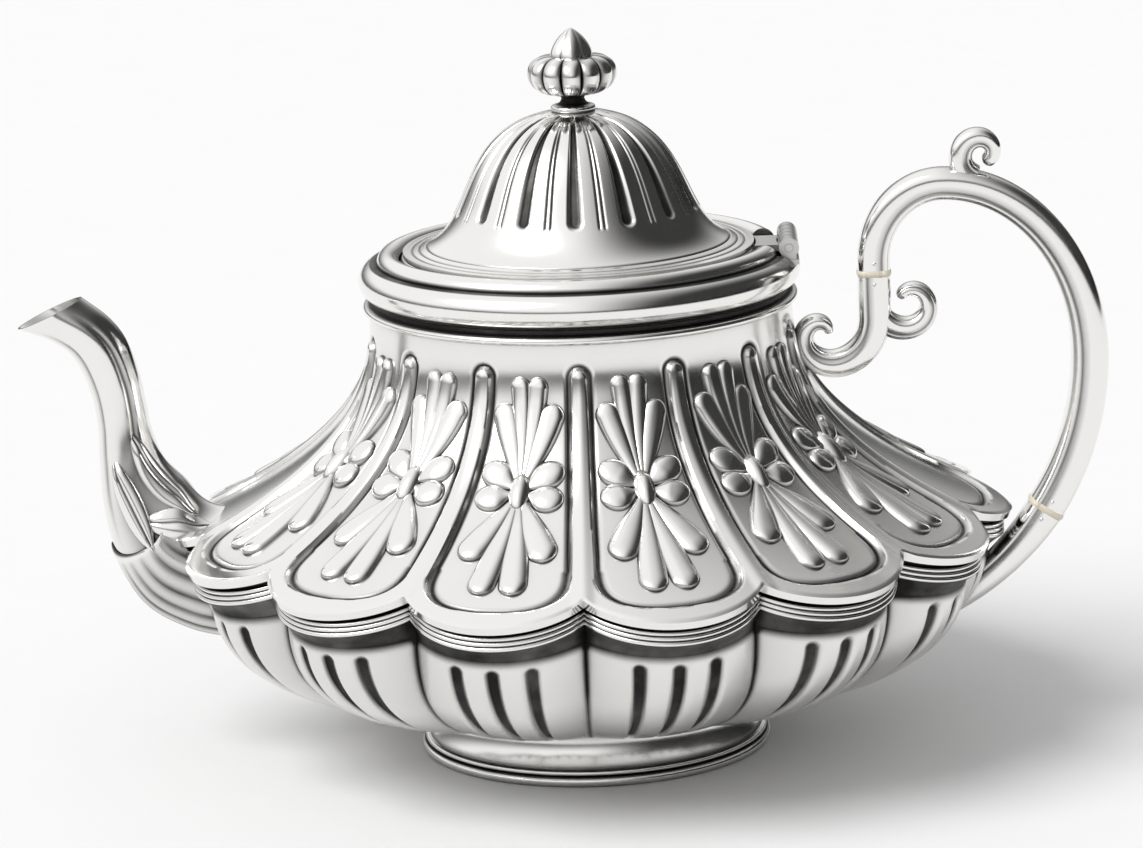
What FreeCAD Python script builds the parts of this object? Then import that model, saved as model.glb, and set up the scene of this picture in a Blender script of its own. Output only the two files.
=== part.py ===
"""Squat silver teapot of fourteen lobes, with a hinged lid, a swan-neck spout and a scroll handle.

Millimetres. Z is up and z = 0 is the plane that the foot stands on. The origin is the middle of the
foot's lower face, the spout points along -X and the handle along +X.
"""
import FreeCAD
import Part
import math
import os

from FreeCAD import Vector

# Sheet and lobes
LOBES = 14
WALL = 0.9

# Foot
FOOT_BASE_R = 39.1
FOOT_BASE_BULGE = 1.5
FOOT_BASE_H = 3.6
FOOT_HOLE_R = 33.0
FOOT_HEIGHT = 14.0
FOOT_SPREAD_R = 37.2
FOOT_TOP_R = 35.6
FOOT_WALL = 1.5
FOOT_SAG = 1.3

# Bowl, from its flat floor on the foot up to the shoulder band
BOWL_BASE_R = 38.0
BOWL_HEIGHT = 28.0
BOWL_INSET = 5.5
BOWL_LOBE_BASE = 1.0
BOWL_LOBE_TOP = 7.0
BOWL_SECTIONS = 6

# Shoulder: the scalloped edge and the moulded band below it
SHOULDER_R = 94.0
SHOULDER_LOBE = 8.0
BAND_HEIGHT = 8.5
BAND_STEP_H = 3.0
BAND_STEP_OUT = 1.5
BAND_INSET = 1.8

# Concave upper half, from the shoulder's edge up to the neck
NECK_R = 47.0
BELL_HEIGHT = 49.5
BELL_POWER = 2.5
BELL_OVERRUN = 0.06
BELL_SECTIONS = 10

# Ornament of the upper half: a rib over each crease, and a rosette between ribs, raised over the skin.
# The ribs run between two shares of the section, counted from the neck to the shoulder
RIB_RISE = 0.8
RIB_HIGH = 0.09
RIB_LOW = 0.9
RIB_HALF_HIGH = 1.9
RIB_HALF_LOW = 2.8
ROSETTE_RISE = 1.0
ROSETTE_SHARE = 0.585
BOSS_RISE = 1.6
BOSS_HALF_LENGTH = 5.2
BOSS_HALF_WIDTH = 2.5

# Petals of a rosette: angle from straight up, length from the middle and width; each has a mirror twin
ROSETTE_PETALS = (
    (4.8, 24.5, 3.4),
    (19.0, 19.0, 4.2),
    (57.0, 11.0, 5.4),
    (108.0, 10.2, 5.6),
    (150.0, 19.0, 5.4),
    (173.0, 28.0, 5.2),
)

# Mouth: outer collar and inner rim with the lid's ledge, heights above the neck
COLLAR_R = 48.6
COLLAR_ROLL = 3.8
COLLAR_ROLL_RISE = 6.8
COLLAR_BEAD_H = 1.6
COLLAR_BEAD_OUT = 0.9
RIM_R = 44.5
RIM_ROLL = 2.5
RIM_ROLL_RISE = 10.6
RIM_PLATE = 1.2
RIM_SKIRT = 7.0
SEAT_RISE = 10.3
MOUTH_R = 36.6

# Lid; a flute runs between two shares of the lid's section, counted from crown to edge
LID_R = 39.0
LID_GAP = 0.5
LID_WIRE_H = 1.7
LID_WIRE_W = 4.4
LID_RISE = 30.0
DOME_EDGE_BACK = 0.4
DOME_CROWN = 30.0
DOME_FLARE = 18.6
DOME_SECTIONS = 12
BEZEL_GAP = 0.6
BEZEL_WALL = 1.0
BEZEL_DEPTH = 5.5
FLUTE_DEPTH = 0.5
FLUTE_LOW_R = 2.3
FLUTE_HIGH_R = 0.8
FLUTE_HIGH = 0.15
FLUTE_LOW = 0.68
FLUTE_STATIONS = 9

# Finial, heights above the crown of the lid
FINIAL_COLLAR_R = 4.8
FINIAL_COLLAR_H = 1.3
FINIAL_NECK_R = 2.5
FINIAL_NECK_TOP = 3.4
PETAL_R = 10.2
PETAL_LOW_R = 4.0
PETAL_TOP_R = 5.4
PETAL_LOBE = 0.9
PETAL_TOP = 11.8
PETAL_SECTIONS = 6
BUD_R = 5.2
BUD_HEIGHT = 6.2
BUD_SWELL = 0.9
STUD_R = 1.4
STUD_GAP = 0.1
STUD_IN_BUD = 2.2
WASHER_R = 3.6
WASHER_H = 0.8
NUT_SIDES = 6
NUT_FLATS = 5.5
NUT_H = 2.4

# Hinge of the lid, at the handle's side of the mouth
HINGE_BACK = 2.6
HINGE_RISE = 2.0
HINGE_GAP = 0.3
KNUCKLE_R = 2.2
KNUCKLE_LENGTH = 4.0
KNUCKLES = 5
PIN_R = 0.85
PIN_FIT = 0.05
HINGE_LEAF_H = 1.4
HINGE_LEAF_DROP = 1.4
PLATE_H = 1.1
NOTCH_DROP = 1.7
POST_BACK = 1.6

# Handle: the route runs bracket, upper insulator, grip, lower insulator, tail
STEM_OUT = 17.7
STEM_TOP_RISE = 7.0
STEM_JOINT_DROP = 2.5
CROWN_OUT = 15.3
CROWN_RISE = 23.7
GRIP_OUT = 17.8
GRIP_MID_DROP = 15.0
TAIL_SPAN = 63.5
TAIL_LOW_RISE = 7.0
TAIL_JOINT_DEG = 33.0
TAIL_END_DEG = 66.0
STEM_DEPTH = 3.6
STEM_WIDTH = 3.6
CROWN_DEPTH = 3.5
CROWN_WIDTH = 4.2
GRIP_DEPTH = 4.1
GRIP_WIDTH = 4.5
TAIL_DEPTH = 2.6
TAIL_WIDTH = 3.4
INSULATOR_H = 1.4
TENON_R = 1.3
TENON_LENGTH = 3.2
TENON_GAP = 0.05
CROSS_PIN_R = 0.45
CROSS_PIN_FIT = 0.02

# Scrolls of the handle: eye of each spiral, how fast it closes, and its half thickness
BRACKET_EYE_OUT = 6.0
BRACKET_EYE_DROP = 8.8
BRACKET_CLOSE = 0.33
BRACKET_SWEEP_DEG = 325.0
BRACKET_END_DEPTH = 1.2
VOLUTE_R = 7.7
VOLUTE_EYE_DROP = 2.6
VOLUTE_CLOSE = 0.2
VOLUTE_START_DEG = 180.0
VOLUTE_SWEEP_DEG = 290.0
VOLUTE_DEPTH = 2.9
VOLUTE_END_DEPTH = 1.2
THUMB_EYE_OUT = 8.8
THUMB_EYE_RISE = 6.5
THUMB_R = 5.7
THUMB_CLOSE = 0.19
THUMB_START_DEG = 252.0
THUMB_SWEEP_DEG = 290.0
THUMB_DEPTH = 2.6
THUMB_END_DEPTH = 1.2
SCROLL_WIDTH = 3.2
SCROLL_END_WIDTH = 2.2

# Spout stations: distance out from the shoulder's tip, height above it, half depth in the spout's own
# plane, half width across it, and the direction that the section faces in degrees from +X
SPOUT_WALL = 1.1
SPOUT_STATIONS = (
    (-16.5, -7.5, 16.6, 12.4, 172.0),
    (-8.7, -6.0, 16.0, 12.3, 164.0),
    (-1.3, -2.5, 14.4, 11.6, 152.0),
    (3.8, 4.5, 11.4, 9.6, 139.0),
    (6.9, 12.5, 8.8, 7.8, 130.0),
    (8.1, 20.7, 7.1, 6.5, 124.0),
    (8.5, 27.7, 6.0, 5.8, 114.0),
    (9.7, 35.0, 5.8, 5.5, 107.0),
    (12.5, 42.5, 6.2, 5.6, 107.0),
    (16.7, 47.1, 6.8, 5.9, 111.0),
    (23.2, 50.9, 7.9, 6.3, 114.0),
)
SPOUT_OVERRUN = 7.0
SPOUT_SEAM = 5
PORT_R = 5.5
PORT_RISE = 20.5
STRAINER_R = 6.6
STRAINER_T = 1.0
STRAINER_HOLE_R = 0.75
STRAINER_PITCH = 2.3
STRAINER_RINGS = 2

# Leaf on each cheek of the spout: its thickness, the stations at its foot, middle and tip,
# and its half width
LEAF_T = 0.9
LEAF_LOW = 2
LEAF_MIDDLE = 4
LEAF_HIGH = 6
LEAF_HALF = 5.2

# Worked out from the sizes above
BOWL_TOP_Z = FOOT_HEIGHT + BOWL_HEIGHT
BOWL_TOP_R = SHOULDER_R - BOWL_INSET
SHOULDER_Z = BOWL_TOP_Z + BAND_HEIGHT
NECK_Z = SHOULDER_Z + BELL_HEIGHT
SEAT_Z = NECK_Z + SEAT_RISE
LEDGE_R = LID_R + LID_GAP
LID_WIRE_Z = SEAT_Z + LID_WIRE_H
LID_EDGE_Z = LID_WIRE_Z + WALL
LID_TOP_Z = LID_EDGE_Z + LID_RISE
BEZEL_R = MOUTH_R - BEZEL_GAP
HINGE_X = COLLAR_R - HINGE_BACK
HINGE_Z = SEAT_Z + HINGE_RISE
HINGE_LENGTH = KNUCKLES * KNUCKLE_LENGTH
NOTCH_Z = SEAT_Z - NOTCH_DROP
STEM_X = NECK_R + STEM_OUT
CROWN_X = STEM_X + CROWN_OUT
CROWN_Z = NECK_Z + CROWN_RISE
GRIP_X = SHOULDER_R + GRIP_OUT
GRIP_MID_Z = NECK_Z - GRIP_MID_DROP
STEM_TOP_Z = NECK_Z + STEM_TOP_RISE
STEM_SIZE = (STEM_DEPTH, STEM_WIDTH)
CROWN_SIZE = (CROWN_DEPTH, CROWN_WIDTH)
GRIP_SIZE = (GRIP_DEPTH, GRIP_WIDTH)
TAIL_SIZE = (TAIL_DEPTH, TAIL_WIDTH)
BRACKET_EYE = (NECK_R + BRACKET_EYE_OUT, NECK_Z - BRACKET_EYE_DROP)
BRACKET_START = math.atan(BRACKET_CLOSE)
BRACKET_R = (STEM_X - BRACKET_EYE[0]) / math.cos(BRACKET_START)
BRACKET_TOP_Z = BRACKET_EYE[1] + BRACKET_R * math.sin(BRACKET_START)
VERTICAL = Vector(0, 0, 1)
ORIGIN = Vector(0, 0, 0)
ACROSS = Vector(0, 1, 0)
FAR = 300.0

# How far a rosette's outline is run through the skin, and a small step along the section
ROSETTE_REACH = 15.0
SMALL = 0.001

# How finely curved shapes are drawn
OVAL_POINTS = 12
SPIRAL_FEWEST = 8
SPIRAL_STEP_DEG = 20.0
SWEEP_STEP_DEG = 15.0


# Plain geometry helpers

def flat(r, z):
    """Point of a section in the XZ plane."""
    return Vector(r, 0, z)


def line(a, b):
    return Part.LineSegment(a, b).toShape()


def arc(a, middle, b):
    return Part.Arc(a, middle, b).toShape()


def spline(points):
    """Smooth curve through a few points."""
    curve = Part.BSplineCurve()
    curve.interpolate(points)
    return curve.toShape()


def spun(edges):
    """Solid of revolution about Z of a closed section in the XZ plane."""
    return Part.Face(Part.Wire(edges)).revolve(ORIGIN, VERTICAL, 360)


def spun_polygon(corners):
    """Solid of revolution of a section with straight sides, given as (r, z) corners."""
    points = [flat(r, z) for r, z in corners]
    return Part.Face(Part.makePolygon(points + points[:1])).revolve(ORIGIN, VERTICAL, 360)


def ring(outer_r, inner_r, low_z, high_z):
    return spun_polygon(((inner_r, low_z), (outer_r, low_z), (outer_r, high_z), (inner_r, high_z)))


def drum(radius, centre, direction, length):
    """Cylinder that runs equally both ways from its centre."""
    start = centre - direction * (length / 2)
    return Part.makeCylinder(radius, length, start, direction)


def block(x_range, half_y, z_range):
    low = Vector(x_range[0], -half_y, z_range[0])
    return Part.makeBox(x_range[1] - x_range[0], 2 * half_y, z_range[1] - z_range[0], low)


def polar(radius, angle, z):
    return Vector(radius * math.cos(angle), radius * math.sin(angle), z)


def lobed_wire(crest_r, crease_r, z):
    """Closed outline of equal round lobes; one lobe is centred on +X and the creases lie between."""
    step = 2 * math.pi / LOBES
    edges = []
    for number in range(LOBES):
        middle = number * step
        start = polar(crease_r, middle - step / 2, z)
        end = polar(crease_r, middle + step / 2, z)
        edges.append(arc(start, polar(crest_r, middle, z), end))
    return Part.Wire(edges)


def lobed_prism(crest_r, crease_r, low_z, high_z):
    face = Part.Face(lobed_wire(crest_r, crease_r, low_z))
    return face.extrude(Vector(0, 0, high_z - low_z))


def loft(wires):
    return Part.makeLoft(wires, True, False)


def oval(centre, facing, half_depth, half_width):
    """Oval section in 3-D: depth lies in the XZ plane, width along Y, and the section faces one way."""
    deep = ACROSS.cross(facing)
    points = []
    for number in range(OVAL_POINTS):
        angle = 2 * math.pi * number / OVAL_POINTS
        inward = deep * (half_depth * math.cos(angle))
        points.append(centre + inward + ACROSS * (half_width * math.sin(angle)))
    curve = Part.BSplineCurve()
    curve.interpolate(points, True)
    return Part.Wire(curve.toShape())


def facing(degrees):
    angle = math.radians(degrees)
    return Vector(math.cos(angle), 0, math.sin(angle))


def tube(stations):
    """Solid through oval stations, each given as (centre, facing, half depth, half width)."""
    return loft([oval(*station) for station in stations])


def between(a, b, share):
    return a + (b - a) * share


def spiral_stations(eye, start_r, close, start_deg, sweep_deg, depths, widths):
    """Oval stations along a spiral in the XZ plane that closes on its eye; a minus sweep runs clockwise."""
    count = max(SPIRAL_FEWEST, round(abs(sweep_deg) / SPIRAL_STEP_DEG))
    way = math.copysign(1, sweep_deg)
    stations = []
    for number in range(count + 1):
        share = number / count
        turned = math.radians(abs(sweep_deg)) * share
        angle = math.radians(start_deg) + way * turned
        radius = start_r * math.exp(-close * turned)
        out = Vector(math.cos(angle), 0, math.sin(angle))
        along = Vector(-math.sin(angle), 0, math.cos(angle)) * way - out * close
        along.normalize()
        centre = Vector(eye[0], 0, eye[1]) + out * radius
        stations.append((centre, along, between(*depths, share), between(*widths, share)))
    return stations


def turned_copies(shape, count):
    copies = []
    for number in range(count):
        copy = shape.copy()
        copy.rotate(ORIGIN, VERTICAL, 360 * number / count)
        copies.append(copy)
    return copies


# Body of the pot

def foot_base_wire():
    flat_r = FOOT_BASE_R - FOOT_BASE_BULGE
    edges = [
        line(flat(FOOT_HOLE_R, 0), flat(flat_r, 0)),
        arc(flat(flat_r, 0), flat(FOOT_BASE_R, FOOT_BASE_H / 2), flat(flat_r, FOOT_BASE_H)),
        line(flat(flat_r, FOOT_BASE_H), flat(FOOT_HOLE_R, FOOT_BASE_H)),
        line(flat(FOOT_HOLE_R, FOOT_BASE_H), flat(FOOT_HOLE_R, 0)),
    ]
    return spun(edges)


def foot_ring():
    middle_r = (FOOT_SPREAD_R + FOOT_TOP_R) / 2 - FOOT_SAG
    middle_z = (FOOT_BASE_H + FOOT_HEIGHT) / 2
    outside = arc(
        flat(FOOT_SPREAD_R, FOOT_BASE_H), flat(middle_r, middle_z), flat(FOOT_TOP_R, FOOT_HEIGHT)
    )
    inside = arc(
        flat(FOOT_TOP_R - FOOT_WALL, FOOT_HEIGHT),
        flat(middle_r - FOOT_WALL, middle_z),
        flat(FOOT_SPREAD_R - FOOT_WALL, FOOT_BASE_H),
    )
    top = line(flat(FOOT_TOP_R, FOOT_HEIGHT), flat(FOOT_TOP_R - FOOT_WALL, FOOT_HEIGHT))
    foot = line(flat(FOOT_SPREAD_R - FOOT_WALL, FOOT_BASE_H), flat(FOOT_SPREAD_R, FOOT_BASE_H))
    return spun([outside, top, inside, foot])


def bowl_filled(inset):
    """Bowl as a solid: quarter-ellipse section, with lobes that deepen upward, set in by a wall."""
    reach = BOWL_TOP_R - BOWL_BASE_R
    wires = []
    for number in range(BOWL_SECTIONS):
        share = number / (BOWL_SECTIONS - 1)
        angle = share * math.pi / 2
        slope = math.hypot(BOWL_HEIGHT * math.sin(angle), reach * math.cos(angle))
        radius = BOWL_BASE_R + reach * math.sin(angle) - inset * BOWL_HEIGHT * math.sin(angle) / slope
        z = BOWL_TOP_Z - BOWL_HEIGHT * math.cos(angle) + inset * reach * math.cos(angle) / slope
        depth = between(BOWL_LOBE_BASE, BOWL_LOBE_TOP, share)
        wires.append(lobed_wire(radius, radius - depth, z))
    return loft(wires)


def spout_port(radius):
    """Round bar along X at the height of the spout's port."""
    start = Vector(-FAR, 0, FOOT_HEIGHT + PORT_RISE)
    return Part.makeCylinder(radius, FAR, start, Vector(1, 0, 0))


def bowl():
    return bowl_filled(0).cut(bowl_filled(WALL)).cut(spout_port(PORT_R))


def strainer():
    plate = bowl_filled(WALL).cut(bowl_filled(WALL + STRAINER_T)).common(spout_port(STRAINER_R))
    holes = []
    for across in range(-STRAINER_RINGS, STRAINER_RINGS + 1):
        for up in range(-STRAINER_RINGS, STRAINER_RINGS + 1):
            if abs(across + up) > STRAINER_RINGS:
                continue
            y = STRAINER_PITCH * (across + up / 2)
            z = FOOT_HEIGHT + PORT_RISE + STRAINER_PITCH * up * math.sin(math.pi / 3)
            holes.append(Part.makeCylinder(STRAINER_HOLE_R, FAR, Vector(-FAR, y, z), Vector(1, 0, 0)))
    return plate.cut(holes)


def bell_points(inset):
    """Concave section of the upper half as points, set in by a wall along its normal."""
    reach = SHOULDER_R - NECK_R
    points = []
    for number in range(BELL_SECTIONS + 1):
        share = (1 + BELL_OVERRUN) * number / BELL_SECTIONS
        lean = reach * BELL_POWER * share ** (BELL_POWER - 1)
        slope = math.hypot(lean, BELL_HEIGHT)
        radius = NECK_R + reach * share ** BELL_POWER - inset * BELL_HEIGHT / slope
        points.append(flat(radius, NECK_Z - BELL_HEIGHT * share - inset * lean / slope))
    return points


def under_bell(inset):
    """Solid of revolution of everything below the upper half's section."""
    points = bell_points(inset)
    top, end = points[0], points[-1]
    low_z = FOOT_HEIGHT
    edges = [
        spline(points),
        line(end, flat(end.x, low_z)),
        line(flat(end.x, low_z), flat(0, low_z)),
        line(flat(0, low_z), flat(0, top.z)),
        line(flat(0, top.z), top),
    ]
    return spun(edges)


def bell_filled():
    outline = lobed_prism(SHOULDER_R, SHOULDER_R - SHOULDER_LOBE, BOWL_TOP_Z, NECK_Z)
    return under_bell(0).common(outline)


def upper_body():
    return bell_filled().cut(under_bell(WALL))


def bell_layer(rise):
    """Skin of even thickness over one lobe's stretch of the upper half, centred on +X."""
    low, high = bell_points(0), bell_points(-rise)
    edges = [spline(low), line(low[-1], high[-1]), spline(high[::-1]), line(high[0], low[0])]
    layer = Part.Face(Part.Wire(edges)).revolve(ORIGIN, VERTICAL, 360 / LOBES)
    layer.rotate(ORIGIN, VERTICAL, -180 / LOBES)
    return layer


def bell_at(share):
    """Point of the upper half's section on +X, by share from the neck to the shoulder."""
    return flat(NECK_R + (SHOULDER_R - NECK_R) * share ** BELL_POWER, NECK_Z - BELL_HEIGHT * share)


def upper_ribs():
    """A round-topped rib over each crease."""
    low_z = bell_at(RIB_LOW).z
    high_z = bell_at(RIB_HIGH).z
    turn_z = high_z - RIB_HALF_HIGH
    corners = [
        Vector(0, RIB_HALF_HIGH, turn_z), Vector(0, RIB_HALF_LOW, low_z),
        Vector(0, -RIB_HALF_LOW, low_z), Vector(0, -RIB_HALF_HIGH, turn_z),
    ]
    edges = [line(a, b) for a, b in zip(corners, corners[1:])]
    edges.append(arc(corners[-1], Vector(0, 0, high_z), corners[0]))
    outline = Part.Face(Part.Wire(edges)).extrude(Vector(FAR, 0, 0))
    rib = bell_layer(RIB_RISE).common(outline)
    rib.rotate(ORIGIN, VERTICAL, 180 / LOBES)
    return Part.makeCompound(turned_copies(rib, LOBES))


def rosette_prism(edges, out):
    """Prism of an outline, run both ways along the direction that the rosette faces."""
    wire = Part.Wire(edges)
    wire.translate(out * -ROSETTE_REACH)
    return Part.Face(wire).extrude(out * (2 * ROSETTE_REACH))


def rosette():
    """Oval boss and twelve petals on one lobe, drawn on the plane that touches the skin at the middle."""
    middle = bell_at(ROSETTE_SHARE)
    up = (bell_at(ROSETTE_SHARE - SMALL) - bell_at(ROSETTE_SHARE + SMALL)).normalize()
    out = ACROSS.cross(up) * -1
    petals = []
    for degrees, length, width in ROSETTE_PETALS:
        for turn in (math.radians(degrees), -math.radians(degrees)):
            along = up * math.cos(turn) + ACROSS * math.sin(turn)
            aside = along.cross(out) * (width / 2)
            tip = middle + along * length
            left = tip - along * (width / 2) + aside
            right = tip - along * (width / 2) - aside
            outline = [line(middle, left), arc(left, tip, right), line(right, middle)]
            petals.append(rosette_prism(outline, out))
    oval_edge = oval(middle, out, BOSS_HALF_LENGTH, BOSS_HALF_WIDTH).Edges
    boss = rosette_prism(oval_edge, out).common(bell_layer(BOSS_RISE))
    flower = petals[0].multiFuse(petals[1:]).common(bell_layer(ROSETTE_RISE))
    return flower.fuse(boss).removeSplitter()


def upper_rosettes():
    """A rosette on every lobe but the two that carry the spout and the handle."""
    copies = turned_copies(rosette(), LOBES)
    return Part.makeCompound(copies[1:LOBES // 2] + copies[LOBES // 2 + 1:])


def band_filled():
    """Moulded band as a solid: a low step round the bowl's edge and a wider step under the shoulder."""
    crease_r = BOWL_TOP_R - BOWL_LOBE_TOP
    step_z = BOWL_TOP_Z + BAND_STEP_H
    edge_r = SHOULDER_R - BAND_INSET
    low = lobed_prism(BOWL_TOP_R + BAND_STEP_OUT, crease_r + BAND_STEP_OUT, BOWL_TOP_Z, step_z)
    high = lobed_prism(edge_r, edge_r - SHOULDER_LOBE, step_z, NECK_Z)
    return low.fuse(high).removeSplitter().common(under_bell(WALL))


def shoulder_band():
    step_z = BOWL_TOP_Z + BAND_STEP_H
    low_r = BOWL_TOP_R - WALL
    high_r = BOWL_TOP_R + BAND_STEP_OUT - WALL
    low = lobed_prism(low_r, low_r - BOWL_LOBE_TOP, BOWL_TOP_Z, step_z)
    high = lobed_prism(high_r, high_r - BOWL_LOBE_TOP, step_z, NECK_Z)
    return band_filled().cut(low.fuse(high))


def hinge_notch():
    """Room in the mouth's mouldings for the hinge."""
    return block((MOUTH_R - WALL, COLLAR_R + WALL), HINGE_LENGTH / 2 + HINGE_GAP, (NOTCH_Z, FAR))


def collar_whole():
    """Outer moulding: a bead on the neck, a short fillet and the large roll."""
    bead_r = NECK_R + COLLAR_BEAD_OUT
    bead_z = NECK_Z + COLLAR_BEAD_H
    roll_r = COLLAR_R - COLLAR_ROLL
    roll_z = NECK_Z + COLLAR_ROLL_RISE
    low = flat(roll_r, roll_z - COLLAR_ROLL)
    back = roll_r - RIM_R
    high = flat(RIM_R, roll_z + math.sqrt(COLLAR_ROLL ** 2 - back ** 2))
    edges = [
        line(flat(RIM_R, NECK_Z), flat(bead_r, NECK_Z)),
        line(flat(bead_r, NECK_Z), flat(bead_r, bead_z)),
        line(flat(bead_r, bead_z), flat(roll_r, bead_z)),
        line(flat(roll_r, bead_z), low),
        arc(low, flat(COLLAR_R, roll_z), high),
        line(high, flat(RIM_R, NECK_Z)),
    ]
    return spun(edges)


def neck_collar():
    return collar_whole().cut(hinge_notch())


def mouth_rim():
    """Inner moulding: skirt in the mouth, ledge for the lid and the roll round it."""
    plate_z = SEAT_Z - RIM_PLATE
    roll_z = NECK_Z + RIM_ROLL_RISE
    roll_end = flat(LEDGE_R + 2 * RIM_ROLL, roll_z)
    skirt_z = SEAT_Z - RIM_SKIRT
    corners = [
        roll_end,
        flat(roll_end.x, plate_z),
        flat(MOUTH_R + WALL, plate_z),
        flat(MOUTH_R + WALL, skirt_z),
        flat(MOUTH_R, skirt_z),
        flat(MOUTH_R, SEAT_Z),
        flat(LEDGE_R, SEAT_Z),
        flat(LEDGE_R, roll_z),
    ]
    edges = [line(a, b) for a, b in zip(corners, corners[1:])]
    edges.append(arc(corners[-1], flat(LEDGE_R + RIM_ROLL, roll_z + RIM_ROLL), roll_end))
    return spun(edges).cut(collar_whole()).cut(hinge_notch())


# The pot's outside as solids, to fit the spout and the handle against
POT = [bowl_filled(0), band_filled(), bell_filled()]


# Spout

def spout_stations(grow, overrun):
    """Oval stations of the spout, made fatter or thinner, and run on past both ends."""
    stations = []
    for out, rise, depth, width, degrees in SPOUT_STATIONS:
        centre = Vector(-SHOULDER_R - out, 0, SHOULDER_Z + rise)
        stations.append((centre, facing(degrees), depth + grow, width + grow))
    if overrun:
        first, last = stations[0], stations[-1]
        stations.insert(0, (first[0] - first[1] * overrun,) + first[1:])
        stations.append((last[0] + last[1] * overrun,) + last[1:])
    return stations


def spout_whole():
    bore = tube(spout_stations(-SPOUT_WALL, SPOUT_OVERRUN))
    return tube(spout_stations(0, 0)).cut(bore).cut(POT)


def below_seam():
    """Everything on the pot's side of the plane where the spout's two castings meet."""
    centre, direction = spout_stations(0, 0)[SPOUT_SEAM][:2]
    half = Part.makeBox(2 * FAR, 2 * FAR, FAR, Vector(-FAR, -FAR, -FAR))
    half.Placement = FreeCAD.Placement(centre, FreeCAD.Rotation(VERTICAL, direction))
    return half


SPOUT = spout_whole()


def spout_root():
    return SPOUT.common(below_seam())


def spout_neck():
    return SPOUT.cut(below_seam())


def spout_leaves():
    """A leaf-shaped plate on each cheek of the spout."""
    stations = spout_stations(0, 0)
    sheath = tube(spout_stations(LEAF_T, 0)).cut(tube(stations))
    low = stations[LEAF_LOW][0]
    middle = stations[LEAF_MIDDLE][0]
    high = stations[LEAF_HIGH][0]
    aside = ACROSS.cross(stations[LEAF_MIDDLE][1]) * LEAF_HALF
    outline = Part.Wire([arc(low, middle + aside, high), arc(high, middle - aside, low)])
    outline.translate(ACROSS * -FAR)
    leaf = Part.Face(outline).extrude(ACROSS * (2 * FAR))
    return sheath.common(leaf).cut(POT)


# Handle

def ellipse_station(centre, spans, degrees, size):
    """Oval station on an ellipse in the XZ plane, walked clockwise; degrees are the ellipse's own angle."""
    angle = math.radians(degrees)
    point = flat(centre[0] + spans[0] * math.cos(angle), centre[1] + spans[1] * math.sin(angle))
    along = flat(spans[0] * math.sin(angle), -spans[1] * math.cos(angle)).normalize()
    return (point, along) + size


def sizes_between(a, b, share):
    return tuple(between(p, q, share) for p, q in zip(a, b))


def tail_station(degrees, size):
    """Station on the lower sweep of the handle, by degrees below its outermost point."""
    spans = (TAIL_SPAN, GRIP_MID_Z - FOOT_HEIGHT - TAIL_LOW_RISE)
    return ellipse_station((GRIP_X - TAIL_SPAN, GRIP_MID_Z), spans, -degrees, size)


UPPER_JOINT = (flat(STEM_X, STEM_TOP_Z - STEM_JOINT_DROP), VERTICAL)
LOWER_JOINT = tail_station(TAIL_JOINT_DEG, GRIP_SIZE)[:2]


def joint_face(joint, size, ahead):
    """Oval station at one face of an insulator."""
    return (joint[0] + joint[1] * (ahead * INSULATOR_H / 2), joint[1]) + size


def sweep(first_deg, last_deg):
    """Evenly spaced angles from the first to the last, both kept."""
    count = max(2, round(abs(last_deg - first_deg) / SWEEP_STEP_DEG))
    shares = [number / count for number in range(count + 1)]
    return [(between(first_deg, last_deg, share), share) for share in shares]


def tenon(joint):
    return drum(TENON_R, joint[0], joint[1], INSULATOR_H + 2 * TENON_LENGTH)


def tenon_hole(joint):
    return drum(TENON_R + TENON_GAP, joint[0], joint[1], INSULATOR_H + 2 * (TENON_LENGTH + TENON_GAP))


def cross_pins(joint, radius, half_width):
    """Two pins across the handle, one through each tenon of an insulator."""
    reach = (INSULATOR_H + TENON_LENGTH) / 2
    return [drum(radius, joint[0] + joint[1] * side, ACROSS, 2 * half_width) for side in (-reach, reach)]


def pin_holes():
    radius = CROSS_PIN_R + CROSS_PIN_FIT
    return cross_pins(UPPER_JOINT, radius, FAR) + cross_pins(LOWER_JOINT, radius, FAR)


def insulator(joint, size):
    disc = tube([joint_face(joint, size, -1), joint_face(joint, size, 1)])
    return disc.fuse(tenon(joint)).cut(pin_holes())


def upper_insulator():
    return insulator(UPPER_JOINT, STEM_SIZE)


def lower_insulator():
    return insulator(LOWER_JOINT, GRIP_SIZE)


def pin_reach(size):
    """Half length of a cross pin, so that its ends lie just inside the handle's sides."""
    return size[1] - CROSS_PIN_R


def insulator_pins():
    upper = cross_pins(UPPER_JOINT, CROSS_PIN_R, pin_reach(STEM_SIZE))
    lower = cross_pins(LOWER_JOINT, CROSS_PIN_R, pin_reach(GRIP_SIZE))
    return Part.makeCompound(upper + lower)


def grip_whole():
    stations = [joint_face(UPPER_JOINT, STEM_SIZE, 1)]
    rise = (CROWN_OUT, CROWN_Z - STEM_TOP_Z)
    for degrees, share in sweep(180, 90):
        stations.append(
            ellipse_station((CROWN_X, STEM_TOP_Z), rise, degrees, sizes_between(STEM_SIZE, CROWN_SIZE, share))
        )
    fall = (GRIP_X - CROWN_X, CROWN_Z - GRIP_MID_Z)
    for degrees, share in sweep(90, 0)[1:]:
        stations.append(
            ellipse_station((CROWN_X, GRIP_MID_Z), fall, degrees, sizes_between(CROWN_SIZE, GRIP_SIZE, share))
        )
    for degrees, share in sweep(0, TAIL_JOINT_DEG)[1:-1]:
        stations.append(tail_station(degrees, GRIP_SIZE))
    stations.append(joint_face(LOWER_JOINT, GRIP_SIZE, -1))
    return tube(stations)


def handle_grip():
    return grip_whole().cut([tenon_hole(UPPER_JOINT), tenon_hole(LOWER_JOINT)] + pin_holes())


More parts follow.
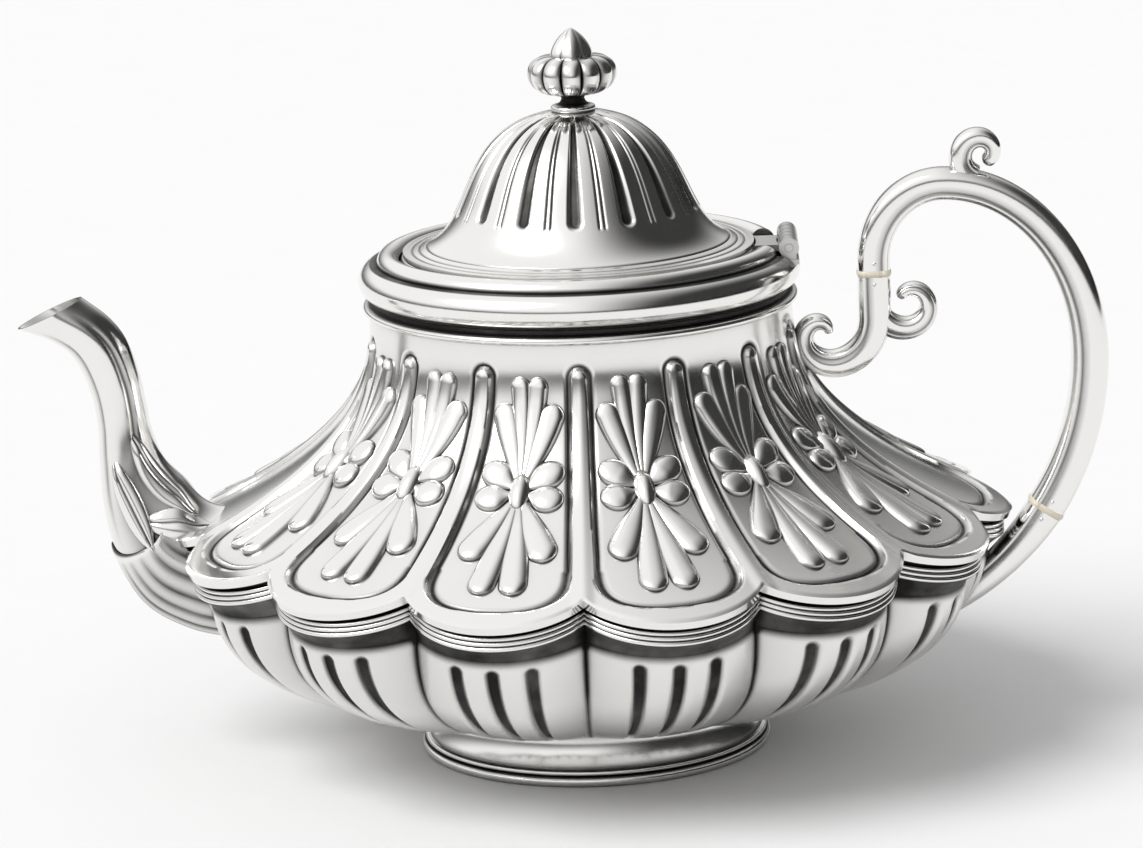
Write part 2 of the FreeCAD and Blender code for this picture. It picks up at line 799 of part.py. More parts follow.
def bracket_whole():
    """Lower end of the stem, which turns into a scroll against the neck."""
    top, direction = joint_face(UPPER_JOINT, STEM_SIZE, -1)[:2]
    low = flat(STEM_X, BRACKET_TOP_Z)
    stations = [(point, direction * -1) + STEM_SIZE for point in (top, (top + low) / 2)]
    stations += spiral_stations(
        BRACKET_EYE, BRACKET_R, BRACKET_CLOSE, math.degrees(BRACKET_START), -BRACKET_SWEEP_DEG,
        (STEM_DEPTH, BRACKET_END_DEPTH), (STEM_WIDTH, SCROLL_END_WIDTH),
    )
    return tube(stations)


def handle_bracket():
    return bracket_whole().cut([tenon_hole(UPPER_JOINT)] + pin_holes()).cut(bell_filled())


def grip_volute():
    eye = (STEM_X + VOLUTE_R, NECK_Z - VOLUTE_EYE_DROP)
    stations = spiral_stations(
        eye, VOLUTE_R, VOLUTE_CLOSE, VOLUTE_START_DEG, VOLUTE_SWEEP_DEG,
        (VOLUTE_DEPTH, VOLUTE_END_DEPTH), (SCROLL_WIDTH, SCROLL_END_WIDTH),
    )
    return tube(stations).cut(bracket_whole())


def thumb_scroll():
    eye = (CROWN_X + THUMB_EYE_OUT, CROWN_Z + THUMB_EYE_RISE)
    stations = spiral_stations(
        eye, THUMB_R, THUMB_CLOSE, THUMB_START_DEG, -THUMB_SWEEP_DEG,
        (THUMB_DEPTH, THUMB_END_DEPTH), (SCROLL_WIDTH, SCROLL_END_WIDTH),
    )
    return tube(stations).cut(grip_whole())


def handle_tail():
    stations = [joint_face(LOWER_JOINT, GRIP_SIZE, 1)]
    for degrees, share in sweep(TAIL_JOINT_DEG, TAIL_END_DEG)[1:]:
        stations.append(tail_station(degrees, sizes_between(GRIP_SIZE, TAIL_SIZE, share)))
    return tube(stations).cut([tenon_hole(LOWER_JOINT)] + pin_holes()).cut(POT)


# Lid

def dome_curve():
    """Ogee section of the lid, from the crown out to the edge."""
    edge_r = LID_R - DOME_EDGE_BACK
    crown = ((0, LID_TOP_Z), (DOME_CROWN, LID_TOP_Z))
    flare = ((edge_r - DOME_FLARE, LID_EDGE_Z), (edge_r, LID_EDGE_Z))
    curve = Part.BezierCurve()
    curve.setPoles([flat(r, z) for r, z in crown + flare])
    return curve


def dome_point(share, inset):
    """Point of the lid's section, set in along its normal, and the way the section runs there."""
    curve = dome_curve()
    along = curve.tangent(share)[0]
    return curve.value(share) + Vector(along.z, 0, -along.x) * inset, along


def dome_points(inset):
    return [dome_point(number / DOME_SECTIONS, inset)[0] for number in range(DOME_SECTIONS + 1)]


def dome_filled(inset):
    """Lid as a solid from its section down to a flat underside."""
    points = dome_points(inset)
    low_z = points[-1].z
    edges = [spline(points), line(points[-1], flat(0, low_z)), line(flat(0, low_z), points[0])]
    return spun(edges)


def flute_cutter():
    """Tool for one flute: a round bar along the dome, thinner at the crown, that rises clear at both ends."""
    stations = []
    for number in range(FLUTE_STATIONS):
        share = number / (FLUTE_STATIONS - 1)
        radius = between(FLUTE_HIGH_R, FLUTE_LOW_R, share)
        depth = -FLUTE_DEPTH if number in (0, FLUTE_STATIONS - 1) else FLUTE_DEPTH
        centre, along = dome_point(between(FLUTE_HIGH, FLUTE_LOW, share), depth - radius)
        stations.append((centre, along, radius, radius))
    return tube(stations)


def lid_dome():
    shell = dome_filled(0).cut(dome_filled(WALL))
    hole = Part.makeCylinder(STUD_R + STUD_GAP, FAR)
    flute = flute_cutter()
    flute.rotate(ORIGIN, VERTICAL, 180 / LOBES)
    return shell.cut(hole).cut(turned_copies(flute, LOBES))


def lid_rim_wire():
    return ring(LID_R, LID_R - LID_WIRE_W, SEAT_Z, LID_WIRE_Z)


def lid_bezel():
    return ring(BEZEL_R, BEZEL_R - BEZEL_WALL, SEAT_Z - BEZEL_DEPTH, SEAT_Z)


def stud_hole():
    return Part.makeCylinder(STUD_R + STUD_GAP, LID_TOP_Z + PETAL_TOP + STUD_IN_BUD + STUD_GAP)


def finial_collar():
    base_z = LID_TOP_Z - FINIAL_COLLAR_H
    edge_z = LID_TOP_Z + FINIAL_COLLAR_H
    top_z = LID_TOP_Z + FINIAL_NECK_TOP
    shoulder = flat(FINIAL_COLLAR_R, edge_z)
    neck = flat(FINIAL_NECK_R, top_z)
    hollow = flat(FINIAL_NECK_R, (edge_z + top_z) / 2)
    edges = [
        line(flat(0, base_z), flat(FINIAL_COLLAR_R, base_z)),
        line(flat(FINIAL_COLLAR_R, base_z), shoulder),
        arc(shoulder, hollow, neck),
        line(neck, flat(0, top_z)),
        line(flat(0, top_z), flat(0, base_z)),
    ]
    return spun(edges).cut([dome_filled(0), stud_hole()])


def finial_petals():
    """Melon of small lobes; its section swells from the neck to its widest and closes toward the bud."""
    low_z = LID_TOP_Z + FINIAL_NECK_TOP
    height = PETAL_TOP - FINIAL_NECK_TOP
    wires = []
    for number in range(PETAL_SECTIONS):
        share = number / (PETAL_SECTIONS - 1)
        swell = math.sin(math.pi * share)
        radius = between(PETAL_LOW_R, PETAL_TOP_R, share)
        radius += (PETAL_R - (PETAL_LOW_R + PETAL_TOP_R) / 2) * swell
        z = low_z + height * (1 - math.cos(math.pi * share)) / 2
        wires.append(lobed_wire(radius, radius - PETAL_LOBE * math.sqrt(swell), z))
    return loft(wires).cut(stud_hole())


def finial_bud():
    low_z = LID_TOP_Z + PETAL_TOP
    tip = flat(0, low_z + BUD_HEIGHT)
    edge = flat(BUD_R, low_z)
    swell = (tip + edge) / 2 + Vector(BUD_SWELL, 0, BUD_SWELL)
    hole_r = STUD_R + STUD_GAP
    hole_z = low_z + STUD_IN_BUD + STUD_GAP
    edges = [
        spline([edge, swell, tip]),
        line(tip, flat(0, hole_z)),
        line(flat(0, hole_z), flat(hole_r, hole_z)),
        line(flat(hole_r, hole_z), flat(hole_r, low_z)),
        line(flat(hole_r, low_z), edge),
    ]
    return spun(edges)


def washer_top():
    """Height at which the washer's edge meets the inside of the dome."""
    points = dome_points(WALL)
    curve = spline(points).Curve
    meet = curve.intersectCC(Part.LineSegment(flat(WASHER_R, LID_EDGE_Z), flat(WASHER_R, LID_TOP_Z)))
    return meet[0].Z


def finial_washer():
    top = washer_top()
    return ring(WASHER_R, STUD_R + STUD_GAP, top - WASHER_H, top)


def finial_nut():
    top = washer_top() - WASHER_H
    corner_r = NUT_FLATS / math.sqrt(3)
    turns = [2 * math.pi * number / NUT_SIDES for number in range(NUT_SIDES + 1)]
    corners = [polar(corner_r, turn, top - NUT_H) for turn in turns]
    hexagon = Part.Face(Part.makePolygon(corners)).extrude(Vector(0, 0, NUT_H))
    return hexagon.cut(stud_hole())


def finial_stud():
    low_z = washer_top() - WASHER_H - NUT_H - STUD_R
    high_z = LID_TOP_Z + PETAL_TOP + STUD_IN_BUD
    return Part.makeCylinder(STUD_R, high_z - low_z, Vector(0, 0, low_z))


# Hinge

def knuckle(number):
    """One barrel of the hinge; barrels are counted along Y."""
    start = -HINGE_LENGTH / 2 + number * KNUCKLE_LENGTH
    gap = HINGE_GAP / 2
    place = Vector(HINGE_X, start + gap, HINGE_Z)
    return Part.makeCylinder(KNUCKLE_R, KNUCKLE_LENGTH - HINGE_GAP, place, ACROSS)


def knuckle_block(number, x_range, z_range):
    """Block as wide as one barrel."""
    shape = block(x_range, (KNUCKLE_LENGTH - HINGE_GAP) / 2, z_range)
    shape.translate(ACROSS * ((number + 0.5) * KNUCKLE_LENGTH - HINGE_LENGTH / 2))
    return shape


def pin_hole():
    return drum(PIN_R + PIN_FIT, Vector(HINGE_X, 0, HINGE_Z), ACROSS, FAR)


def hinge_body_leaf():
    """Plate in the notch of the mouth with a post under each of its barrels."""
    plate = block((RIM_R, HINGE_X + KNUCKLE_R), HINGE_LENGTH / 2, (NOTCH_Z, NOTCH_Z + PLATE_H))
    pieces = []
    for number in range(0, KNUCKLES, 2):
        pieces.append(knuckle(number))
        pieces.append(knuckle_block(number, (HINGE_X - POST_BACK, HINGE_X + POST_BACK), (NOTCH_Z, HINGE_Z)))
    return plate.multiFuse(pieces).removeSplitter().cut(pin_hole())


def hinge_lid_leaf():
    """Plate on the lid's edge that carries the barrels between the body's barrels."""
    low_z = HINGE_Z - HINGE_LEAF_DROP
    reach = HINGE_X - KNUCKLE_R - HINGE_GAP
    half = (HINGE_LENGTH - HINGE_GAP) / 2 - KNUCKLE_LENGTH
    plate = block((LID_R - LID_WIRE_W, reach), half, (low_z, low_z + HINGE_LEAF_H))
    pieces = []
    for number in range(1, KNUCKLES, 2):
        pieces.append(knuckle(number))
        pieces.append(knuckle_block(number, (reach - KNUCKLE_R, HINGE_X), (low_z, low_z + HINGE_LEAF_H)))
    lid = Part.makeCylinder(LID_R, LID_EDGE_Z - SEAT_Z, Vector(0, 0, SEAT_Z))
    return plate.multiFuse(pieces).removeSplitter().cut([pin_hole(), lid])


def hinge_pin():
    return drum(PIN_R, Vector(HINGE_X, 0, HINGE_Z), ACROSS, HINGE_LENGTH)


NODES = (
    foot_base_wire, foot_ring, bowl, strainer, shoulder_band, upper_body, upper_ribs, upper_rosettes,
    neck_collar, mouth_rim, spout_root, spout_neck, spout_leaves,
    handle_bracket, upper_insulator, handle_grip, grip_volute, thumb_scroll, lower_insulator,
    handle_tail, insulator_pins,
    lid_dome, lid_rim_wire, lid_bezel, finial_collar, finial_petals, finial_bud, finial_stud,
    finial_washer, finial_nut,
    hinge_body_leaf, hinge_lid_leaf, hinge_pin,
)

os.makedirs("parts", exist_ok=True)
for node in NODES:
    solid = node()
    solid.exportStep(f"parts/{node.__name__}.step")
    print(node.__name__, len(solid.Solids), "solids", round(solid.Volume, 1), "mm3", solid.isValid())
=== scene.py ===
"""Looks of the squat lobed silver teapot: smooth shells with true relief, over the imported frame.

Sizes are millimetres until a mesh is made. The frame and every Blender object are in metres.
"""
import itertools
from math import atan, copysign, cos, exp, hypot, pi, radians, sin

import bmesh
import bpy
import numpy as np
from mathutils import Matrix, Vector

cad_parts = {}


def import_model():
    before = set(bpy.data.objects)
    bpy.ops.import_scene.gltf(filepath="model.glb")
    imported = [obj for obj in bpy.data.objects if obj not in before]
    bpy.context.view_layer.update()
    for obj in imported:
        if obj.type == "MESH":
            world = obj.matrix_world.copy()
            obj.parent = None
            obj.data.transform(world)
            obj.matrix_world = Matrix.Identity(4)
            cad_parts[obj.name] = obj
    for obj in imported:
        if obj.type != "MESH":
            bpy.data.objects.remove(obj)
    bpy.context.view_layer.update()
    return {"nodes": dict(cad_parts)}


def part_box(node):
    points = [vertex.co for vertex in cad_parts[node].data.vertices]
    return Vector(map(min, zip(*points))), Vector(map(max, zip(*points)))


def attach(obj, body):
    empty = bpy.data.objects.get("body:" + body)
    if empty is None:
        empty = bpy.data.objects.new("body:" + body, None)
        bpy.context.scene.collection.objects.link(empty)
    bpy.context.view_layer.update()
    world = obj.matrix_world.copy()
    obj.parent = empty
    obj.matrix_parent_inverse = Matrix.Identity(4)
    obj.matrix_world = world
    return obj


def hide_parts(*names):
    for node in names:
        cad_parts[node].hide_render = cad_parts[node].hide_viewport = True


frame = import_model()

MM = 0.001
TAU = 2 * pi
SHARP = radians(38)


def low_mm(node):
    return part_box(node)[0] / MM


def high_mm(node):
    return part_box(node)[1] / MM


# Pot: sizes read from the frame, then those of the sections
LOBES = 14
LOBE = TAU / LOBES
WALL = 0.9
FOOT_Z = low_mm("bowl").z
BOWL_TOP_Z = high_mm("bowl").z
NECK_Z = high_mm("upper_body").z
SHOULDER_R = high_mm("upper_body").x
BASE_R = high_mm("foot_base_wire").x
BASE_TOP_Z = high_mm("foot_base_wire").z
SEAT_Z = low_mm("lid_rim_wire").z
LID_TOP_Z = high_mm("lid_dome").z
LID_WIRE_TOP = high_mm("lid_rim_wire").z
FINIAL_Z = high_mm("finial_bud").z
BOWL_BASE_R = 38.0
BOWL_TOP_R = SHOULDER_R - 5.5
BOWL_LOBE_BASE = 1.0
BOWL_LOBE_TOP = 7.0
SHOULDER_Z = BOWL_TOP_Z + 8.5
SHOULDER_LOBE = 8.0
NECK_R = 47.0
BELL_HEIGHT = NECK_Z - SHOULDER_Z
BELL_POWER = 2.5


# Numbers and shapes

def smooth(low, high, value):
    """Smooth step from 0 at low to 1 at high."""
    share = np.clip((value - low) / (high - low), 0, 1)
    return share * share * (3 - 2 * share)


def hump(value, width):
    """Soft bump of height 1 at 0."""
    return np.exp(-(value / width) ** 2)


def mix(a, b, share):
    return a + (b - a) * share


def ring_angles(count):
    return np.arange(count) * TAU / count


def spread(start, end, count):
    """Evenly spaced values, one for each ring."""
    return np.linspace(start, end, count)[:, None]


def lobe_turn(theta):
    """Angle from the nearest crest of a lobe; one crest lies on +X."""
    return (theta + LOBE / 2) % LOBE - LOBE / 2


def lobe_place(theta):
    """Place across a lobe, from -1 at one crease through 0 at the crest to 1."""
    return lobe_turn(theta) / (LOBE / 2)


def lobe_radius(theta, crest, crease):
    """Radius of an outline of equal round lobes."""
    turn = lobe_turn(theta)
    middle = (crest ** 2 - crease ** 2) / (2 * (crest - crease * cos(LOBE / 2)))
    bulge = crest - middle
    return middle * np.cos(turn) + np.sqrt(np.maximum(bulge ** 2 - (middle * np.sin(turn)) ** 2, 0))


def lobe_angles(per_lobe):
    """Angles round the pot that start at a crease, so that creases stay sharp."""
    return np.arange(LOBES * per_lobe) * LOBE / per_lobe + LOBE / 2


def spun(r, z, theta):
    return np.stack([r * np.cos(theta), r * np.sin(theta), z + 0 * theta + 0 * r], -1)


def grid_faces(rows, columns, wrap):
    """Faces between neighbouring rings, each ring closed on itself."""
    row = np.arange(rows if wrap else rows - 1)[:, None]
    below = (row + 1) % rows
    column = np.arange(columns)
    beside = (column + 1) % columns
    corners = [
        row * columns + column,
        row * columns + beside,
        below * columns + beside,
        below * columns + column,
    ]
    return np.stack(corners, -1).reshape(-1, 4).tolist()


def skin(rings, patina_and_shade=0.0, wrap=False):
    """Closed skin over rings of points: ends get fans, or the last ring joins the first."""
    rings = np.asarray(rings, float)
    rows, columns = rings.shape[:2]
    points = rings.reshape(-1, 3)
    shade = np.broadcast_to(patina_and_shade, (rows, columns)).ravel()
    faces = grid_faces(rows, columns, wrap)
    if not wrap:
        for ring in (0, rows - 1):
            middle = len(points)
            start = ring * columns
            points = np.vstack([points, rings[ring].mean(0)])
            shade = np.append(shade, shade[start])
            for column in range(columns):
                faces.append([middle, start + column, start + (column + 1) % columns])
    return points, faces, shade


def shell(outer, inner, outer_shade, inner_shade=0.0):
    """Closed skin over outer rings and back over inner rings."""
    sides = ((outer, outer_shade), (inner, inner_shade))
    shades = [np.broadcast_to(shade, rings.shape[:2]) for rings, shade in sides]
    return skin(np.concatenate([outer, inner]), np.concatenate(shades), wrap=True)


def merged(parts):
    faces = []
    offset = 0
    for points, part_faces, _ in parts:
        faces += [[corner + offset for corner in face] for face in part_faces]
        offset += len(points)
    return np.vstack([part[0] for part in parts]), faces, np.concatenate([part[2] for part in parts])


def arc(centre, radius, start_deg, end_deg, count):
    angles = np.radians(np.linspace(start_deg, end_deg, count))
    return [(centre[0] + radius * cos(a), centre[1] + radius * sin(a)) for a in angles]


def lathe(profile, patina_and_shade, count=288, wrap=True):
    """Turned skin of a profile of (r, z) points; a profile that wraps is a closed section."""
    profile = np.asarray(profile, float)
    rings = spun(profile[:, :1], profile[:, 1:], ring_angles(count)[None, :])
    return skin(rings, np.asarray(patina_and_shade, float)[:, None], wrap)


# Sections of the pot

def bowl_crest(share):
    """Radius over the lobes' crests, by share of the bowl's quarter ellipse."""
    return BOWL_BASE_R + (BOWL_TOP_R - BOWL_BASE_R) * np.sin(share * pi / 2)


def bowl_outline(share, theta):
    crest = bowl_crest(share)
    return lobe_radius(theta, crest, crest - mix(BOWL_LOBE_BASE, BOWL_LOBE_TOP, share))


def edge_radius(theta):
    """Radius of the scalloped edge of the upper half."""
    return lobe_radius(theta, SHOULDER_R, SHOULDER_R - SHOULDER_LOBE)


def bell_radius(step):
    """Radius of the upper half, by share of its height below the neck."""
    return NECK_R + (SHOULDER_R - NECK_R) * step ** BELL_POWER


def bell_step(radius):
    """Share of the upper half's height below the neck, by radius."""
    return np.clip((radius - NECK_R) / (SHOULDER_R - NECK_R), 0, 1) ** (1 / BELL_POWER)


def edge_lift(theta):
    """Rise of the scalloped edge over the lobes' tips; it is greatest at the creases."""
    return BELL_HEIGHT * (1 - bell_step(edge_radius(theta)))


# Materials

SILVER_BRIGHT = (0.87, 0.86, 0.84, 1)
# Dark colour of oxide and of painted shade in recesses, creases and under parts
SILVER_OXIDE_AND_SHADE = (0.022, 0.021, 0.020, 1)
BONE_PALE = (0.88, 0.82, 0.70, 1)
BONE_DARK = (0.66, 0.56, 0.40, 1)
SHADE_REACH_M = 0.0035
MARK_DEPTH_M = 0.00004
GRAIN_DEPTH_M = 0.00003
HINGE_PAINTED_SHADE = 0.35


def give(tree, socket, value):
    """Links another node's output to a socket, or sets the socket's value."""
    if isinstance(value, bpy.types.NodeSocket):
        tree.links.new(value, socket)
    else:
        socket.default_value = value


def fill(tree, node, inputs):
    for name, value in inputs.items():
        give(tree, node.inputs[name], value)


def add(tree, kind, **inputs):
    """New shader node with some of its inputs filled."""
    node = tree.nodes.new("ShaderNode" + kind)
    fill(tree, node, inputs)
    return node


def object_place(tree):
    return add(tree, "TexCoord").outputs["Object"]


def noise_of(tree, place, scale, detail, roughness=0.5, squash=None):
    """Noise over a place; a squash under 1 draws it out along Z."""
    if squash is not None:
        place = add(tree, "Mapping", Scale=(1.0, 1.0, squash), Vector=place).outputs["Vector"]
    noise = add(tree, "TexNoise", Scale=scale, Detail=detail, Roughness=roughness, Vector=place)
    return noise.outputs["Fac"]


def math_node(tree, kind, *values, clamp=False):
    node = add(tree, "Math")
    node.operation = kind
    node.use_clamp = clamp
    for socket, value in zip(node.inputs, values):
        give(tree, socket, value)
    return node.outputs[0]


def link_colour(tree, shader, factor, a, b):
    node = add(tree, "Mix")
    node.data_type = "RGBA"
    fill(tree, node, {"Factor": factor, "A": a, "B": b})
    tree.links.new(node.outputs["Result"], shader.inputs["Base Color"])


def link_bump(tree, shader, height, strength, distance):
    bump = add(tree, "Bump", Strength=strength, Distance=distance, Height=height)
    tree.links.new(bump.outputs["Normal"], shader.inputs["Normal"])


def blank_material(name, inputs):
    material = bpy.data.materials.new(name)
    material.use_nodes = True
    tree = material.node_tree
    shader = tree.nodes["Principled BSDF"]
    fill(tree, shader, inputs)
    return material, tree, shader


def oxide_and_shade_of(tree, clouds, shade_level):
    """Share of dark oxide and painted shade: the mesh's per-point oxide and painted shade, painted shade in
    sheltered corners, and an even level of painted shade, made cloudy.
    """
    depth = add(tree, "Attribute")
    depth.attribute_name = "patina_and_shade"
    occlusion_shade = add(tree, "AmbientOcclusion", Distance=SHADE_REACH_M)
    occlusion_shade.samples = 6
    # Painted shade in sheltered corners, from ambient occlusion
    hidden = math_node(tree, "SUBTRACT", 1.0, occlusion_shade.outputs["AO"])
    hidden = math_node(tree, "POWER", hidden, 1.5)
    hidden = math_node(tree, "MULTIPLY", hidden, 0.9)
    uneven = math_node(tree, "MULTIPLY_ADD", clouds, 0.5, 0.72)
    oxide_and_shade = math_node(tree, "ADD", depth.outputs["Fac"], hidden)
    # An even level of painted shade over the whole material
    oxide_and_shade = math_node(tree, "ADD", oxide_and_shade, shade_level)
    return math_node(tree, "MULTIPLY", oxide_and_shade, uneven, clamp=True)


def silver_material(name, shade_level):
    """Polished silver with dark oxide and painted shade in the recesses, fine polishing marks and soft
    clouds.
    """
    material, tree, shader = blank_material(name, {"Metallic": 1.0})
    place = object_place(tree)
    clouds = noise_of(tree, place, scale=55.0, detail=5.0, roughness=0.6)
    marks = noise_of(tree, place, scale=900.0, detail=3.0, roughness=0.55, squash=0.16)
    oxide_and_shade = oxide_and_shade_of(tree, clouds, shade_level)
    link_colour(tree, shader, oxide_and_shade, SILVER_BRIGHT, SILVER_OXIDE_AND_SHADE)
    rough = math_node(tree, "MULTIPLY", oxide_and_shade, 0.38)
    cloudy = math_node(tree, "MULTIPLY", clouds, 0.10)
    rough = math_node(tree, "ADD", rough, cloudy)
    rough = math_node(tree, "ADD", rough, 0.10)
    tree.links.new(rough, shader.inputs["Roughness"])
    link_bump(tree, shader, marks, 0.10, MARK_DEPTH_M)
    return material


def bone_material():
    """Old ivory-coloured bone with fine lengthwise grain."""
    material, tree, shader = blank_material("bone_turned", {"Roughness": 0.42, "Subsurface Weight": 0.08})
    grain = noise_of(tree, object_place(tree), scale=1600.0, detail=4.0, roughness=0.6, squash=0.12)
    link_colour(tree, shader, grain, BONE_PALE, BONE_DARK)
    link_bump(tree, shader, grain, 0.2, GRAIN_DEPTH_M)
    return material


SILVER = silver_material("silver_polished", 0.0)
# The hinge's copy of the silver is darkened all over: painted shade
SHADED_HINGE_SILVER = silver_material("silver_painted_shade", HINGE_PAINTED_SHADE)
BONE = bone_material()


# Making of pieces

def link_object(name, data):
    made = bpy.data.objects.new(name, data)
    bpy.context.scene.collection.objects.link(made)
    return made


def piece(name, part, nodes, body="pot", material=SILVER):
    """Makes one visible piece of a skin and seats it on its body."""
    points, faces, shade = part
    mesh = bpy.data.meshes.new(name)
    mesh.from_pydata((points * MM).tolist(), [], faces)
    solid = bmesh.new()
    solid.from_mesh(mesh)
    bmesh.ops.recalc_face_normals(solid, faces=solid.faces)
    solid.to_mesh(mesh)
    solid.free()
    mesh.shade_smooth()
    mesh.set_sharp_from_angle(angle=SHARP)
    # Per-point share of dark oxide and painted shade, read by the silver's material
    mesh.attributes.new("patina_and_shade", "FLOAT", "POINT").data.foreach_set("value", shade.astype(np.float32))
    mesh.materials.append(material)
    made = link_object(name, mesh)
    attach(made, body)
    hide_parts(*nodes)
    return made


def cut_box(made, low, high):
    """Cuts a box-shaped room out of a piece."""
    corners = [[value * MM for value in corner] for corner in itertools.product(*zip(low, high))]
    sides = [(0, 1, 3, 2), (4, 6, 7, 5), (0, 4, 5, 1), (2, 3, 7, 6), (0, 2, 6, 4), (1, 5, 7, 3)]
    mesh = bpy.data.meshes.new("room")
    mesh.from_pydata(corners, [], sides)
    tool = link_object("room", mesh)
    cut = made.modifiers.new("room", "BOOLEAN")
    cut.operation = "DIFFERENCE"
    cut.solver = "EXACT"
    cut.object = tool
    graph = bpy.context.evaluated_depsgraph_get()
    made.data = bpy.data.meshes.new_from_object(made.evaluated_get(graph))
    made.modifiers.clear()
    made.data.set_sharp_from_angle(angle=SHARP)
    bpy.data.objects.remove(tool)


# Foot

BASE_IN_R = 33.0
BASE_ROLL_R = 1.15
BASE_BEAD_R = 0.62
BASE_SET_BACK = 1.3
BASE_GROOVE_Z = BASE_TOP_Z * 0.62
FOOT_LOW_R = 37.2
FOOT_TOP_R = 35.6
FOOT_WAIST = 1.3
FOOT_WALL = 1.5
FOOT_ROWS = 26


def base_moulding_piece():
    wire = [(BASE_IN_R, 0.0), (BASE_R - BASE_SET_BACK, 0.0)]
    wire += arc((BASE_R - BASE_ROLL_R, BASE_ROLL_R), BASE_ROLL_R, -75, 80, 10)
    wire += [(BASE_R - BASE_SET_BACK, BASE_GROOVE_Z), (BASE_R - 0.95, BASE_GROOVE_Z + 0.35)]
    wire += arc((BASE_R - 1.45, BASE_GROOVE_Z + 0.7), BASE_BEAD_R, -30, 85, 8)
    wire += [(BASE_R - 1.9, BASE_TOP_Z), (BASE_IN_R, BASE_TOP_Z)]
    # Dark oxide and painted shade in the groove
    shade = [0.9 if abs(z - BASE_GROOVE_Z) < 0.2 else 0.0 for r, z in wire]
    piece("foot_base_moulding", lathe(wire, shade), ["foot_base_wire"])


def foot_ring_piece():
    share = np.linspace(0, 1, FOOT_ROWS)
    outer_r = mix(FOOT_LOW_R, FOOT_TOP_R, share) - FOOT_WAIST * np.sin(share * pi) ** 0.8
    outer_z = mix(BASE_TOP_Z, FOOT_Z, share)
    ring = list(zip(outer_r, outer_z)) + list(zip(outer_r[::-1] - FOOT_WALL, outer_z[::-1]))
    # Painted shadow on the ring's upper part under the bowl, and painted shade at its joint with the base
    # wire
    outer_shade = 0.85 * smooth(0.45, 0.85, share) + 0.8 * hump(share, 0.07)
    shade = np.concatenate([outer_shade, np.zeros(FOOT_ROWS)])
    piece("foot_hollow_ring", lathe(ring, shade), ["foot_ring"])


# Bowl with three sunk flutes on each lobe

FLUTE_PLACES = (-0.42, 0.0, 0.42)
FLUTE_DEPTH = 1.1
FLUTE_LOW = 0.22
FLUTE_HIGH = 0.92
FLUTE_WIDTHS = (0.8, 2.5)
FLUTE_TOP_RUN = 52.0
FLUTE_FOOT_RUN = 70.0
BOWL_PAINTED_SHADE = 0.10
BOWL_CREASE_SHADE = 0.22
BOWL_COLUMNS = 84
BOWL_INSET = WALL + 0.3
BOWL_LIFT_FROM = 0.7
FLOOR_SHARES = (0.1, 0.75)
BAND_LIFT = 0.8


def bowl_section(share, theta, inset):
    """Points of the bowl's lobed quarter-ellipse section, set in by a depth along its slope."""
    angle = share * pi / 2
    reach = BOWL_TOP_R - BOWL_BASE_R
    height = BOWL_TOP_Z - FOOT_Z
    slope = np.hypot(height * np.sin(angle), reach * np.cos(angle))
    radius = bowl_outline(share, theta) - inset * height * np.sin(angle) / slope
    z = BOWL_TOP_Z - height * np.cos(angle) + inset * reach * np.cos(angle) / slope
    return radius, z


def bowl_flutes(share, theta):
    """Depth of the flutes, from 0 on the skin to 1 along their middle."""
    half = bowl_crest(share) * LOBE / 2
    width = mix(*FLUTE_WIDTHS, smooth(FLUTE_LOW, FLUTE_HIGH, share))
    over = np.maximum(share - FLUTE_HIGH, 0) * FLUTE_TOP_RUN
    under = np.maximum(FLUTE_LOW - share, 0) * FLUTE_FOOT_RUN
    depth = np.zeros(np.broadcast(share, theta).shape)
    for middle in FLUTE_PLACES:
        aside = (lobe_place(theta) - middle) * half
        away = np.sqrt(aside ** 2 + over ** 2 + under ** 2) / width
        depth = np.maximum(depth, smooth(1.12, 0.25, away))
    return depth


def bowl_painted_shade(share, theta, flutes):
    # Painted shade: darker all over and towards the creases, dark in the flutes and creases, under the band
    # and above the foot
    place = np.abs(lobe_place(theta))
    shade_level = BOWL_PAINTED_SHADE + BOWL_CREASE_SHADE * place ** 3
    crease = hump(1 - place, 0.035) * smooth(0.1, 0.4, share)
    rim = smooth(0.95, 1.0, share)
    base = smooth(0.12, 0.0, share)
    return np.clip(shade_level + 0.9 * smooth(0.35, 0.95, flutes) + 0.7 * crease + 0.8 * rim + 0.8 * base, 0, 1)


def bowl_piece():
    theta = lobe_angles(BOWL_COLUMNS)[None, :]
    share = np.concatenate([np.linspace(0, 0.1, 6)[:-1], np.linspace(0.1, 1, 88)])[:, None]
    lift = BAND_LIFT * edge_lift(theta)
    flutes = bowl_flutes(share, theta)
    radius, z = bowl_section(share, theta, FLUTE_DEPTH * flutes)
    outer = spun(radius, z + lift * smooth(BOWL_LIFT_FROM, 1.0, share), theta)
    inner_share = spread(1, 0, 30)
    radius, z = bowl_section(inner_share, theta, BOWL_INSET)
    z = np.minimum(z, BOWL_TOP_Z) + lift * smooth(BOWL_LIFT_FROM, 1.0, inner_share)
    inner = spun(radius, z, theta)
    under = [spun(BOWL_BASE_R * part, FOOT_Z, theta) for part in FLOOR_SHARES]
    floor = [spun(BOWL_BASE_R * part, FOOT_Z + WALL, theta) for part in FLOOR_SHARES[::-1]]
    rings = np.concatenate([*under, outer, inner, *floor])
    shades = np.zeros(rings.shape[:2])
    shades[len(under):len(under) + len(share)] = bowl_painted_shade(share, theta, flutes)
    piece("bowl_fluted", skin(rings, shades), ["bowl"])


# Shoulder band: a hollow step in painted shade under a reeded edge, with painted shade between the reeds

